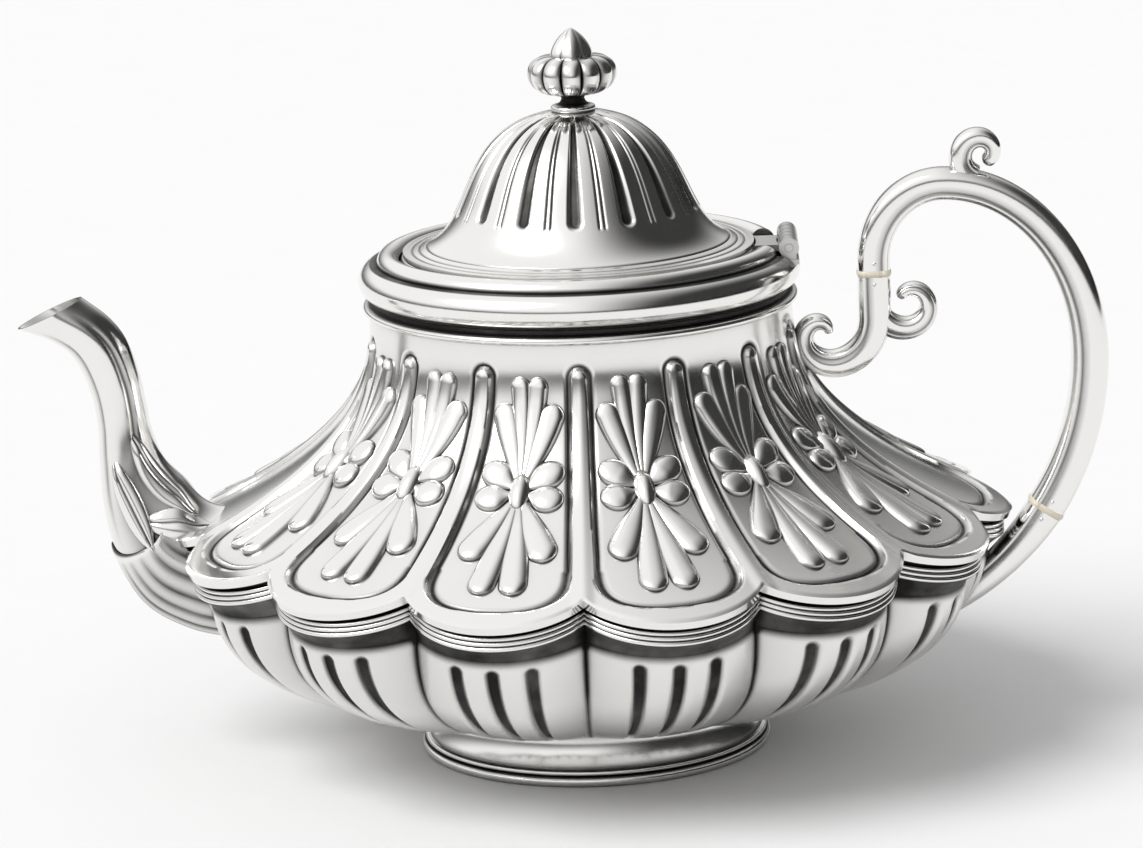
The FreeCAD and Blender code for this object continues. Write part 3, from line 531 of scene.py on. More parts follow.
BAND_HOLLOW = 3.0
BAND_UNDERCUT = 2.2
BAND_START_R = BOWL_TOP_R + 0.2
BAND_SWEEP = 3.2
BAND_IN_R = BOWL_TOP_R - 1.2
BAND_COLUMNS = 56
REEDS = 3
REED_R = SHOULDER_R - 2.3
REED_RISE = 0.55


def band_ring(r, z, theta):
    """One ring of the band: its lobes deepen and follow the scalloped edge on the way up."""
    up = min(1, max(0, (z - BOWL_TOP_Z) / BAND_HOLLOW))
    radius = lobe_radius(theta, r, r - mix(BOWL_LOBE_TOP, SHOULDER_LOBE, up))
    return spun(radius, z + edge_lift(theta) * mix(BAND_LIFT, 1.0, up), theta)


def band_piece():
    step_z = BOWL_TOP_Z + BAND_HOLLOW
    reed_z = SHOULDER_Z - BAND_UNDERCUT
    profile = []
    for t in np.linspace(0, 1, 12):
        sweep = BAND_SWEEP * (1 - cos(t * pi / 2))
        profile.append((BAND_START_R + sweep, mix(BOWL_TOP_Z, step_z, t)))
    # Painted shade in the hollow step, between the reeds and under the scalloped edge
    shade = [0.95] * len(profile)
    for t in np.linspace(0, 1, 40):
        wave = abs(sin(REEDS * pi * t))
        profile.append((REED_R + REED_RISE * wave ** 0.6, mix(step_z, reed_z, t)))
        shade.append(0.95 * (1 - wave) ** 2.5)
    profile += [(SHOULDER_R - 3.3, reed_z + 0.3), (SHOULDER_R - 3.5, SHOULDER_Z - 0.4)]
    profile += [(SHOULDER_R - 3.5, SHOULDER_Z + 0.4), (SHOULDER_R - 6.0, SHOULDER_Z + 1.2)]
    profile += [(BAND_IN_R, SHOULDER_Z + 1.0), (BAND_IN_R, BOWL_TOP_Z)]
    shade += [0.97, 0.97, 0.97, 0.9, 0.0, 0.0]
    theta = lobe_angles(BAND_COLUMNS)
    rings = [band_ring(r, z, theta) for r, z in profile]
    band = skin(rings, np.array(shade)[:, None], wrap=True)
    piece("shoulder_band_reeded", band, ["shoulder_band"])


# Upper half: sunk fields between raised ribs

BELL_STEPS = np.linspace(0, 1.05, 2101)
BELL_R = bell_radius(BELL_STEPS)
BELL_Z = NECK_Z - BELL_HEIGHT * BELL_STEPS
BELL_RUN = np.concatenate([[0], np.cumsum(np.hypot(np.diff(BELL_R), np.diff(BELL_Z)))])
BELL_EDGE_RUN = np.interp(1.0, BELL_STEPS, BELL_RUN)
BELL_COLUMNS = 80
BELL_INSET = WALL + 0.7
FIELD_LEVEL = -0.45
FIELD_FOOT = 5.8
FIELD_FOOT_ROUND = 13.0
FIELD_POWER = 2.6
RIB_LEVEL = 0.35
RIB_CROWN = 0.35
RIB_TOP_RUN = 5.2
RIB_TOP_HALF = 1.85
RIB_WIDENING = 1.15
GROOVE_DEPTH = 0.4
EDGE_DROP = 0.25
FAR_OUTSIDE = -9.0


def bell_point(run, theta, height):
    """Point over the upper half's surface, by distance down its section and height above the skin."""
    step = np.interp(run, BELL_RUN, BELL_STEPS)
    lean = (SHOULDER_R - NECK_R) * BELL_POWER * np.maximum(step, 1e-6) ** (BELL_POWER - 1)
    slope = np.hypot(lean, BELL_HEIGHT)
    radius = np.interp(run, BELL_RUN, BELL_R) + height * BELL_HEIGHT / slope
    return spun(radius, np.interp(run, BELL_RUN, BELL_Z) + height * lean / slope, theta)


def bell_relief(run, theta):
    """Height of ribs and border over the skin, and painted shade along the groove beside them and faintly
    over the sunk fields.
    """
    half = np.interp(run, BELL_RUN, BELL_R) * LOBE / 2
    rib = RIB_TOP_HALF + RIB_WIDENING * (run / BELL_EDGE_RUN)
    aside = (1 - np.abs(lobe_place(theta))) * half
    above = np.maximum(RIB_TOP_RUN + rib - run, 0)
    in_rib = rib - np.hypot(aside, above)
    field_half = half - rib
    across = (half - aside) / field_half
    up = BELL_EDGE_RUN - run
    down = np.maximum(FIELD_FOOT + FIELD_FOOT_ROUND - up, 0) / FIELD_FOOT_ROUND
    rounded = (across ** FIELD_POWER + down ** FIELD_POWER) ** (1 / FIELD_POWER) - 1
    in_border = np.where(down > 0, rounded * np.minimum(field_half, FIELD_FOOT_ROUND) * 0.8, FAR_OUTSIDE)
    inside = np.maximum(in_rib, in_border)
    raised = smooth(-0.1, 0.55, inside)
    crown = RIB_CROWN * smooth(0, 1, np.clip(in_rib / rib, 0, 1)) * raised
    groove = hump(inside + 0.5, 0.5)
    height = mix(FIELD_LEVEL, RIB_LEVEL, raised) + crown - GROOVE_DEPTH * groove
    # Painted shade: dark along the groove round each field, faintly darker over the sunk fields
    oxide_and_shade = np.maximum(1.1 * groove, 0.03 * (1 - raised))
    return height, np.clip(oxide_and_shade, 0, 1)


def upper_piece():
    theta = lobe_angles(BELL_COLUMNS)[None, :]
    edge_run = np.interp(edge_radius(theta), BELL_R, BELL_RUN)
    share = spread(0, 1, 150)
    height, oxide_and_shade = bell_relief(share * edge_run, theta)
    height = height - EDGE_DROP * smooth(0.985, 1.0, share)
    outer = bell_point(share * edge_run, theta, height)
    under_share = spread(1, 0, 24)
    inner = bell_point(under_share * edge_run, theta, -BELL_INSET)
    piece("upper_body_chased", shell(outer, inner, oxide_and_shade), ["upper_body", "upper_ribs"])


# Rosettes in the fields

# Petals: angle from straight up, length from the middle, width; each has its mirror twin
ROSETTE_PETALS = (
    (4.6, 26.0, 4.9),
    (16.0, 21.0, 6.2),
    (52.0, 10.8, 7.4),
    (104.0, 10.0, 7.4),
    (154.0, 20.8, 7.2),
    (172.6, 29.3, 6.8),
)
ROSETTE_UP = 40.5
ROSETTE_SINK = FIELD_LEVEL - 0.5
PETAL_START = 2.0
PETAL_RISE = 1.05
BOSS_HALF = (2.5, 5.2)
BOSS_RISE = 1.7
RELIEF_TOP = np.linspace(-1, 1, 15)
RELIEF_UNDER = np.linspace(0.9, -0.9, 5)
RELIEF_ACROSS = np.concatenate([RELIEF_TOP, RELIEF_UNDER])[None, :]
UNDER_ZERO = np.zeros(len(RELIEF_UNDER))


def field_point(lobe, x, y, height):
    """Point over a field, by offsets from its rosette's middle and height above the skin."""
    run = BELL_EDGE_RUN - ROSETTE_UP - y
    return bell_point(run, lobe * LOBE + x / np.interp(run, BELL_RUN, BELL_R), height)


def petal(lobe, angle_deg, length, width):
    """One raised petal: narrow at its root, round at its tip, swollen in the middle."""
    turn = length - width / 2
    body = np.linspace(0, 1, 14)
    cap = np.radians(np.linspace(8, 88, 9))
    reach = np.concatenate([mix(PETAL_START, turn, body), turn + width / 2 * np.sin(cap)])[:, None]
    half = np.concatenate([mix(0.24, 1.0, np.sin(body * pi / 2)), np.cos(cap)])[:, None] * width / 2
    level = np.concatenate([mix(0.62, 1.0, smooth(0, 0.8, body)), np.cos(cap) ** 0.5])[:, None]
    rounded = np.maximum(1 - np.abs(RELIEF_TOP) ** 2.6, 0) ** 0.55
    swell = np.concatenate([rounded, UNDER_ZERO])[None, :] * level
    angle = radians(angle_deg)
    x = reach * sin(angle) + half * RELIEF_ACROSS * cos(angle)
    y = reach * cos(angle) - half * RELIEF_ACROSS * sin(angle)
    height = mix(ROSETTE_SINK, PETAL_RISE, swell)
    # Painted shade round each petal's edge and where petals meet
    return skin(field_point(lobe, x, y, height), np.clip(1.25 - 1.75 * swell, 0, 1))


def boss(lobe):
    """Oval dome in the middle of a rosette, with a flat foot under the surface."""
    ring = ring_angles(24)[None, :]
    lift = np.radians(np.array([-8, 8, 22, 38, 54, 70, 82]))[:, None]
    x = BOSS_HALF[0] * np.cos(lift) * np.cos(ring)
    y = BOSS_HALF[1] * np.cos(lift) * np.sin(ring)
    height = mix(ROSETTE_SINK, BOSS_RISE, np.maximum(np.sin(lift), 0)) + 0 * ring
    # Painted shade round the boss's foot
    return skin(field_point(lobe, x, y, height), np.clip(1 - 3 * np.sin(lift), 0, 1) + 0 * ring)


def rosette_piece():
    """A rosette on every lobe but the two that carry the handle and the spout."""
    parts = []
    for lobe in range(LOBES):
        if lobe in (0, LOBES // 2):
            continue
        for angle, length, width in ROSETTE_PETALS:
            for way in (-1, 1):
                parts.append(petal(lobe, way * angle, length, width))
        parts.append(boss(lobe))
    piece("rosettes_chased", merged(parts), ["upper_rosettes"])


# Mouth mouldings

LID_R = 39.0
HINGE_ROOM = ((35.7, -10.3, SEAT_Z - 1.7), (49.8, 10.3, 140.0))
COLLAR_IN_R = 44.5
COLLAR_BEAD_R = 0.8
COLLAR_ROLL_AT = (44.8, NECK_Z + 6.8)
COLLAR_ROLL_R = 3.8
RIM_IN_R = 36.6
RIM_OUT_R = 44.4
RIM_DROP = 7
RIM_PLATE_Z = SEAT_Z - 1.2
RIM_LEDGE_R = LID_R + 0.5
RIM_ROLL_R = 2.5
RIM_ROLL_Z = NECK_Z + 10.6


def collar_painted_shade(r, z):
    """Painted shade in the hollow under the collar's roll, and a painted dark line where the roll meets the
    rim.
    """
    if z > COLLAR_ROLL_AT[1] + 3.55:
        return 0.95
    if NECK_Z + 1.5 < z < NECK_Z + 3.3 and r < NECK_R:
        return 0.9
    return 0.0


def collar_piece():
    collar = [(COLLAR_IN_R, NECK_Z), (NECK_R + 0.3, NECK_Z)]
    collar += arc((NECK_R + 0.1, NECK_Z + COLLAR_BEAD_R), COLLAR_BEAD_R, -80, 90, 10)
    collar += [(46.4, NECK_Z + 1.7), (45.9, NECK_Z + 2.1), (45.9, NECK_Z + 2.9)]
    collar += arc(COLLAR_ROLL_AT, COLLAR_ROLL_R, -62, 92, 30)
    collar += [(COLLAR_IN_R, COLLAR_ROLL_AT[1] + 3.78)]
    shade = [collar_painted_shade(r, z) for r, z in collar]
    made = piece("neck_collar_rolled", lathe(collar, shade), ["neck_collar"])
    cut_box(made, *HINGE_ROOM)


def rim_piece():
    rim = [(RIM_IN_R + WALL, RIM_PLATE_Z), (RIM_IN_R + WALL, SEAT_Z - RIM_DROP)]
    rim += [(RIM_IN_R, SEAT_Z - RIM_DROP), (RIM_IN_R, SEAT_Z), (RIM_LEDGE_R, SEAT_Z)]
    rim += arc((RIM_LEDGE_R + RIM_ROLL_R, RIM_ROLL_Z), RIM_ROLL_R, 180, 0, 24)
    rim += [(RIM_OUT_R, RIM_PLATE_Z)]
    # Painted shade inside the mouth below the ledge and where the rim's roll meets the collar
    shade = [0.75 if r < RIM_LEDGE_R + 0.1 and z < NECK_Z + 11 else 0.0 for r, z in rim]
    shade[-4:] = [0.5, 0.9, 0.95, 0.95]
    made = piece("mouth_rim_rolled", lathe(rim, shade), ["mouth_rim"])
    cut_box(made, *HINGE_ROOM)


# Spout

# Stations: out from the shoulder's tip, rise above it, half depth, half width, facing in degrees
SPOUT_STATIONS = np.array((
    (-16.5, -7.5, 16.6, 12.4, 172.0),
    (-8.7, -6.0, 16.0, 12.3, 164.0),
    (-1.3, -2.5, 14.4, 11.6, 152.0),
    (3.8, 4.5, 11.4, 9.6, 139.0),
    (6.9, 12.5, 8.8, 7.8, 130.0),
    (8.1, 20.7, 7.1, 6.5, 124.0),
    (8.5, 27.7, 6.0, 5.8, 114.0),
    (9.7, 35.0, 5.8, 5.5, 107.0),
    (12.5, 42.5, 6.2, 5.6, 107.0),
    (16.7, 47.1, 6.8, 5.9, 111.0),
    (23.2, 50.9, 7.9, 6.3, 114.0),
))
SPOUT_TOP = len(SPOUT_STATIONS) - 1
SPOUT_DENSE = np.linspace(0, SPOUT_TOP, 400)
SPOUT_COLUMNS = 72
SPOUT_ROWS = 96
SPOUT_INNER_ROWS = 40
SPOUT_WALL = 1.1
SPOUT_LIP_WALL = 0.55
SPOUT_LINE_DEPTH = 0.55
TUBE_SINK = 0.45
RELIEF_DEPTH = 1.1
ROOT_SETTLE = 3.0
ROOT_SINK = 1.8
ROOT_FADE = 6.0


def from_inner_side(angles):
    """Angle from the spout's inner side, the same on both cheeks."""
    return np.abs(((angles + pi) % TAU) - pi)


SPOUT_ANGLES = ring_angles(SPOUT_COLUMNS)
SPOUT_CHEEK = from_inner_side(SPOUT_ANGLES)
SPOUT_LINES = hump(SPOUT_CHEEK - 1.05, 0.10) + 0.7 * hump(SPOUT_CHEEK - 2.35, 0.09)


def smooth_curve(places, values):
    """Smooth curve that passes through evenly numbered values."""
    padded = np.concatenate([[2 * values[0] - values[1]], values, [2 * values[-1] - values[-2]]])
    low = np.clip(np.floor(places).astype(int), 0, len(values) - 2)
    t = places - low
    a, b, c, d = [padded[low + ahead] for ahead in range(4)]
    bend = 2 * a - 5 * b + 4 * c - d
    twist = 3 * b - a - 3 * c + d
    return 0.5 * (2 * b + (c - a) * t + bend * t ** 2 + twist * t ** 3)


def spout_skin(grow, places, angles):
    """Points of the spout's skin, by place along its stations and angle from the inner side."""
    out, rise, depth, width, facing = [smooth_curve(places, values) for values in SPOUT_STATIONS.T]
    facing = np.radians(facing)
    deep = (depth + grow) * np.cos(angles)
    x = -SHOULDER_R - out + np.sin(facing) * deep
    z = SHOULDER_Z + rise - np.cos(facing) * deep
    return np.stack([x, (width + grow) * np.sin(angles), z], -1)


def pot_radius(theta, z):
    """Radius of the pot's outside at a height, for fitting the spout and handle."""
    share = np.arccos(np.clip((BOWL_TOP_Z - z) / (BOWL_TOP_Z - FOOT_Z), 0, 1)) / (pi / 2)
    step = np.clip((NECK_Z - z) / BELL_HEIGHT, 0, 1.1)
    band = lobe_radius(theta, REED_R, REED_R - SHOULDER_LOBE)
    bell = np.minimum(bell_radius(step), edge_radius(theta))
    return np.where(z < BOWL_TOP_Z, bowl_outline(share, theta), np.where(z < SHOULDER_Z, band, bell))


def trimmed_places(points, dense, sink, from_pot):
    """Where each column of a tube goes through the pot's wall, less a little."""
    x, y, z = np.moveaxis(points, -1, 0)
    height = np.where(z > SHOULDER_Z, z + RELIEF_DEPTH, z)
    inside = np.hypot(x, y) < pot_radius(np.arctan2(y, x), height) - sink
    hidden = [np.nonzero(column)[0] for column in inside.T]
    if from_pot:
        return dense[[np.max(rows, initial=0) for rows in hidden]]
    return dense[[np.min(rows, initial=len(dense) - 1) for rows in hidden]]


def settled(points, places, sink):
    """Lets the spout's inner side run down onto the upper half's skin towards its root."""
    x, y, z = np.moveaxis(points, -1, 0)
    radius = np.hypot(x, y)
    ground = NECK_Z - BELL_HEIGHT * bell_step(radius) - sink
    from_edge = edge_radius(np.arctan2(y, x)) - radius
    pull = (1 - smooth(0.0, ROOT_SETTLE, places)) * smooth(0.0, ROOT_FADE, from_edge)
    return np.stack([x, y, np.where(z > ground, mix(z, ground, pull), z)], -1)


def spout_outside(places):
    """Outer skin, with two fine lines along each cheek of the neck."""
    base = spout_skin(0.0, places, SPOUT_ANGLES)
    inward = spout_skin(-SPOUT_LINE_DEPTH, places, SPOUT_ANGLES)
    fade = smooth(3.2, 5.0, places) * smooth(SPOUT_TOP, SPOUT_TOP - 1.6, places)
    return settled(mix(base, inward, (SPOUT_LINES * fade)[..., None]), places, ROOT_SINK)


def spout_inside(places):
    """Inner skin; the wall thins towards the lip."""
    thick = spout_skin(-SPOUT_WALL, places, SPOUT_ANGLES)
    lip = spout_skin(-SPOUT_LIP_WALL, places, SPOUT_ANGLES)
    share = smooth(SPOUT_TOP - 2.0, SPOUT_TOP, places)
    return settled(mix(thick, lip, share[..., None]), places, ROOT_SINK + SPOUT_WALL)


def spout_rings(skin_at, count):
    """Rings whose columns run from the pot's wall to the spout's lip."""
    starts = trimmed_places(skin_at(SPOUT_DENSE[:, None]), SPOUT_DENSE, TUBE_SINK, True)
    return skin_at(mix(starts, SPOUT_TOP, spread(0, 1, count)))


def spout_painted_shade():
    """Painted shade along the lines of the neck, between the leaves, and where the spout leaves the pot."""
    share = spread(0, 1, SPOUT_ROWS)
    lines = 0.85 * SPOUT_LINES * smooth(0.22, 0.45, share) * smooth(0.98, 0.85, share)
    between = smooth(0.06, 0.16, share) * smooth(0.44, 0.30, share) * hump(SPOUT_CHEEK - 1.5, 0.5)
    return np.maximum(np.maximum(lines, 0.8 * between), 0.7 * smooth(0.035, 0.0, share))


def spout_piece():
    outer = spout_rings(spout_outside, SPOUT_ROWS)
    inner = spout_rings(spout_inside, SPOUT_INNER_ROWS)
    # Painted shade inside the spout, clearing at the lip
    inner_shade = 0.55 * smooth(1.0, 0.9, np.linspace(1, 0, SPOUT_INNER_ROWS))[:, None]
    tube = shell(outer, inner[::-1], spout_painted_shade(), inner_shade)
    piece("spout_swan_neck", tube, ["spout_root", "spout_neck"])


# Leaves at the spout's root: a cup, and blades on each cheek

# Blades: place and angle of the root, place and angle of the tip, bow in degrees, width
SPOUT_BLADES = (
    (1.8, 36.0, 5.5, 72.0, -8.0, 6.8),
    (2.4, 96.0, 5.1, 118.0, -10.0, 6.4),
    (1.2, 44.0, 3.2, 94.0, -10.0, 8.0),
)
BLADE_RISE = 1.15
BLADE_SINK = -0.6
STATION_STEP = 8.0
CALYX_ANGLES = ring_angles(144)
CALYX_SWELL = 0.2
CALYX_DIP = 2.5
CALYX_FRONT = 0.7
CALYX_DIVE = (0.75, 1.25)
CALYX_REEDS = 11
CALYX_REED_DEPTH = 0.32
CALYX_PAINTED_SHADE = 0.25


def on_spout(places, angles, height):
    """Points over the spout's skin, by place along it, angle round it and height above it."""
    low = settled(spout_skin(0.0, places, angles), places, ROOT_SINK)
    high = settled(spout_skin(1.0, places, angles), places, ROOT_SINK)
    return mix(low, high, height[..., None])


def calyx_profile():
    """Share of the way up the cup, height above the spout's skin and strength of the reeds."""
    profile = [(t, 0.35 + 0.35 * t ** 3, 1.0 - t ** 6) for t in np.linspace(0, 0.94, 30)]
    profile += [(0.97, 0.8, 0.0), (1.0, 0.85, 0.0), (1.015, 0.6, 0.0)]
    profile += [(1.015, 0.2, 0.0), (0.99, -0.3, 0.0), (0.0, -0.4, 0.0)]
    return profile


def calyx_part():
    """Cup round the spout's root; its lip rises in front and sinks into the pot behind."""
    cheek = from_inner_side(CALYX_ANGLES)
    ahead = np.maximum(cheek - pi / 2, 0) / (pi / 2)
    lip = CALYX_DIP * smooth(*CALYX_DIVE, cheek) + CALYX_FRONT * ahead
    dense = SPOUT_DENSE[:, None]
    outside = settled(spout_skin(CALYX_SWELL, dense, CALYX_ANGLES), dense, ROOT_SINK)
    starts = trimmed_places(outside, SPOUT_DENSE, TUBE_SINK, True)
    starts = np.clip(starts, 0, np.maximum(lip - 0.1, 0))
    gap = 1 - np.abs(np.sin(CALYX_REEDS * cheek))
    t, out, reeded = np.array(calyx_profile()).T[:, :, None]
    places = np.clip(mix(starts, lip, t), 0, SPOUT_TOP)
    rings = on_spout(places, CALYX_ANGLES, out - CALYX_REED_DEPTH * reeded * gap)
    # Painted shade over the cup, darkest between its reeds and under its lip
    shades = np.clip(reeded * (CALYX_PAINTED_SHADE + 0.75 * gap ** 1.2), 0, 1)
    shades[-4:] = 0.9
    return skin(rings, shades, wrap=True)


def blade_part(way, root, root_deg, tip, tip_deg, bow, width):
    """One long pointed leaf on the spout's cheek with a fine line along its middle."""
    along = spread(0.015, 0.985, 36)
    place = mix(root, tip, along)
    angle = np.radians(mix(root_deg, tip_deg, along) + bow * np.sin(pi * along))
    girth = np.interp(place, np.arange(len(SPOUT_STATIONS)), SPOUT_STATIONS[:, 2:4].mean(1))
    ahead = STATION_STEP * np.gradient(place[:, 0])[:, None]
    aside = girth * np.gradient(angle[:, 0])[:, None]
    run = np.hypot(ahead, aside)
    half = width / 2 * np.sin(pi * along ** 0.75) ** 0.8
    places = np.clip(place - half * RELIEF_ACROSS * aside / run / STATION_STEP, 0, SPOUT_TOP)
    angles = angle + half * RELIEF_ACROSS * ahead / run / girth
    line = hump(RELIEF_TOP, 0.12)
    rounded = np.maximum(1 - RELIEF_TOP ** 2, 0) ** 0.5 - 0.3 * line
    swell = np.concatenate([rounded, UNDER_ZERO])[None, :] * smooth(0.0, 0.25, 1 - along)
    dark = np.concatenate([0.8 * line, UNDER_ZERO])[None, :]
    # Painted shade round each blade's edge and along its middle line
    shade = np.clip(1.1 - 1.7 * swell + dark, 0, 1)
    return skin(on_spout(places, way * angles, mix(BLADE_SINK, BLADE_RISE, swell)), shade)


def spout_leaf_piece():
    parts = [calyx_part()]
    for blade in SPOUT_BLADES:
        for way in (-1, 1):
            parts.append(blade_part(way, *blade))
    piece("spout_calyx_leaves", merged(parts), ["spout_leaves"])


# Handle: route of its middle line, half depth and half width, and its softly squared section

STEM_X = NECK_R + 17.7
STEM_TOP_Z = NECK_Z + 7.0
STEM_JOINT_Z = STEM_TOP_Z - 2.5
CROWN_X = STEM_X + 15.3
CROWN_Z = NECK_Z + 23.7
GRIP_X = SHOULDER_R + 17.8
GRIP_MID_Z = NECK_Z - 15.0
TAIL_SPAN = 63.5
TAIL_DROP = GRIP_MID_Z - FOOT_Z - 7.0
TAIL_JOINT = radians(33)
TAIL_END = radians(66)
TAIL_SINK = 0.5
STEM_SIZE = (3.6, 3.6)
CROWN_SIZE = (3.5, 4.2)
GRIP_SIZE = (4.1, 4.5)
TAIL_SIZE = (2.6, 3.4)
INSULATOR_H = 1.4
JOINT_TURN = INSULATOR_H / 2 / hypot(TAIL_SPAN * sin(TAIL_JOINT), TAIL_DROP * cos(TAIL_JOINT))
SECTION_POINTS = 48
SECTION_POWER = 3.4


def squared(wave):
    """Flattens a wave, so that a round section gets softly squared."""
    return np.sign(wave) * np.abs(wave) ** (2 / SECTION_POWER)


SECTION_C = squared(np.cos(ring_angles(SECTION_POINTS)))
SECTION_S = squared(np.sin(ring_angles(SECTION_POINTS)))
SECTION_LINE = hump(SECTION_C - 0.42, 0.13)
SECTION_LINE_DEPTH = 0.10
# Painted shade along the fine line on each side of the handle's bars
SECTION_LINE_SHADE = 0.75 * SECTION_LINE[None, :]
CAP_ANGLES = np.radians((25, 45, 62, 76, 86))


def bar_rings(stations):
    """Rings of a softly squared bar with a fine line along each side."""
    x, z, along_x, along_z, depth, width = np.array(stations).T[:, :, None]
    deep = depth * SECTION_C
    wide = width * SECTION_S * (1 - SECTION_LINE_DEPTH * SECTION_LINE)
    return np.stack([x + along_z * deep, wide, z - along_x * deep], -1)


def round_end(station):
    """Stations that round off a bar after its last one."""
    x, z, along_x, along_z, depth, width = station
    caps = []
    for angle in CAP_ANGLES:
        ahead = depth * sin(angle)
        shrink = cos(angle)
        middle = (x + along_x * ahead, z + along_z * ahead)
        caps.append((*middle, along_x, along_z, depth * shrink, width * shrink))
    return caps


def bar(stations):
    return skin(bar_rings(stations), SECTION_LINE_SHADE)


def stem_stations(low, high, way, count):
    """Upright stations of the stem without the last one; way is 1 upwards and -1 downwards."""
    return [(STEM_X, mix(low, high, t), 0.0, way, *STEM_SIZE) for t in np.linspace(0, 1, count)[:-1]]


def ellipse_stations(centre, spans, start, end, size_a, size_b, count):
    stations = []
    for share in np.linspace(0, 1, count):
        angle = mix(start, end, share)
        along = Vector((spans[0] * sin(angle), -spans[1] * cos(angle))).normalized()
        x = centre[0] + spans[0] * cos(angle)
        z = centre[1] + spans[1] * sin(angle)
        size = [mix(a, b, share) for a, b in zip(size_a, size_b)]
        stations.append((x, z, along.x, along.y, *size))
    return stations


def tail_stations(start, end, count, end_size=GRIP_SIZE):
    centre = (GRIP_X - TAIL_SPAN, GRIP_MID_Z)
    return ellipse_stations(centre, (TAIL_SPAN, TAIL_DROP), -start, -end, GRIP_SIZE, end_size, count)


def spiral_stations(eye, start_r, close, start, sweep, depths, widths, count):
    """Stations along a spiral that closes at an even rate."""
    way = copysign(1, sweep)
    stations = []
    for share in np.linspace(0, 1, count):
        turned = abs(sweep) * share
        angle = start + way * turned
        radius = start_r * exp(-close * turned)
        out = Vector((cos(angle), sin(angle)))
        along = (Vector((-sin(angle), cos(angle))) * way - out * close).normalized()
        x = eye[0] + out.x * radius
        z = eye[1] + out.y * radius
        stations.append((x, z, along.x, along.y, mix(*depths, share), mix(*widths, share)))
    return stations


def grip_piece():
    rise = (CROWN_X - STEM_X, CROWN_Z - STEM_TOP_Z)
    fall = (GRIP_X - CROWN_X, CROWN_Z - GRIP_MID_Z)
    top = pi / 2
    stations = stem_stations(STEM_JOINT_Z + INSULATOR_H / 2, STEM_TOP_Z, 1.0, 10)
    stations += ellipse_stations((CROWN_X, STEM_TOP_Z), rise, pi, top, STEM_SIZE, CROWN_SIZE, 36)
    stations += ellipse_stations((CROWN_X, GRIP_MID_Z), fall, top, 0, CROWN_SIZE, GRIP_SIZE, 48)[1:]
    stations += tail_stations(0, TAIL_JOINT - JOINT_TURN, 24)[1:]
    piece("handle_grip_scroll", bar(stations), ["handle_grip"])


def tail_piece():
    """Lower end of the handle; each column of its skin ends just inside the bowl."""
    rings = bar_rings(tail_stations(TAIL_JOINT + JOINT_TURN, TAIL_END, 120, TAIL_SIZE))
    columns = np.arange(SECTION_POINTS)
    ends = trimmed_places(rings, np.arange(len(rings)), TAIL_SINK, False)
    at = ends * spread(0, 1, 48)
    low = np.floor(at).astype(int)
    high = np.minimum(low + 1, len(rings) - 1)
    cut = mix(rings[low, columns], rings[high, columns], (at - low)[..., None])
    piece("handle_tail_sweep", skin(cut, SECTION_LINE_SHADE), ["handle_tail"])


# Scrolls of the handle: eye, first radius, rate of closing, first angle, sweep, half depths, half widths

BRACKET_EYE = (NECK_R + 6.0, NECK_Z - 8.8)
BRACKET_CLOSE = 0.33
BRACKET_START = atan(BRACKET_CLOSE)
BRACKET_R = (STEM_X - BRACKET_EYE[0]) / cos(BRACKET_START)
BRACKET_TOP_Z = BRACKET_EYE[1] + BRACKET_R * sin(BRACKET_START)
BRACKET_SWEEP = -radians(345)
BRACKET = (BRACKET_EYE, BRACKET_R, BRACKET_CLOSE, BRACKET_START, BRACKET_SWEEP, (3.6, 1.2), (3.6, 2.4))
VOLUTE_R = 7.7
VOLUTE_EYE = (STEM_X + VOLUTE_R, NECK_Z - 2.6)
VOLUTE = (VOLUTE_EYE, VOLUTE_R, 0.2, pi, radians(310), (2.9, 1.2), (3.2, 2.4))
THUMB_EYE = (CROWN_X + 8.8, CROWN_Z + 6.5)
THUMB = (THUMB_EYE, 5.7, 0.19, radians(252), -radians(290), (2.8, 1.6), (3.3, 2.4))


def scroll_piece(name, stations, node):
    piece(name, bar(stations + round_end(stations[-1])), [node])


def scroll_pieces():
    stem = stem_stations(STEM_JOINT_Z - INSULATOR_H / 2, BRACKET_TOP_Z, -1.0, 8)
    scroll_piece("handle_bracket_scroll", stem + spiral_stations(*BRACKET, 90), "handle_bracket")
    scroll_piece("grip_inner_volute", spiral_stations(*VOLUTE, 90), "grip_volute")
    scroll_piece("thumb_rest_scroll", spiral_stations(*THUMB, 80), "thumb_scroll")


# Bone insulators and their cross pins

DISC_ROWS = 5
UPPER_SWELL = 0.07
LOWER_SWELL = 0.06
TENON_LENGTH = 3.2
PIN_REACH = (INSULATOR_H + TENON_LENGTH) / 2
PIN_PROUD = 0.12


def disc_piece(name, stations, swell, node):
    """Bone disc whose side bulges a little."""
    swollen = np.array(stations)
    swollen[:, 4:] *= 1 + swell * np.sin(pi * np.linspace(0, 1, DISC_ROWS))[:, None]
    piece(name, bar(swollen), [node], material=BONE)


def disc_pieces():
    heights = STEM_JOINT_Z + INSULATOR_H * np.linspace(-0.5, 0.5, DISC_ROWS)
    upper = [(STEM_X, z, 0.0, 1.0, *STEM_SIZE) for z in heights]
    lower = tail_stations(TAIL_JOINT - JOINT_TURN, TAIL_JOINT + JOINT_TURN, DISC_ROWS)
    disc_piece("upper_bone_disc", upper, UPPER_SWELL, "upper_insulator")
    disc_piece("lower_bone_disc", lower, LOWER_SWELL, "lower_insulator")


def pin_part(x, z, half):
    """Round pin with a low dome at each end."""
    ring = ring_angles(20)
    end = [(0.12, half), (0.32, half - 0.08), (0.45, half - 0.25)]
    profile = [(r, -y) for r, y in end] + end[::-1]
    rings = [np.stack([x + r * np.cos(ring), y + 0 * ring, z + r * np.sin(ring)], -1) for r, y in profile]
    return skin(rings)


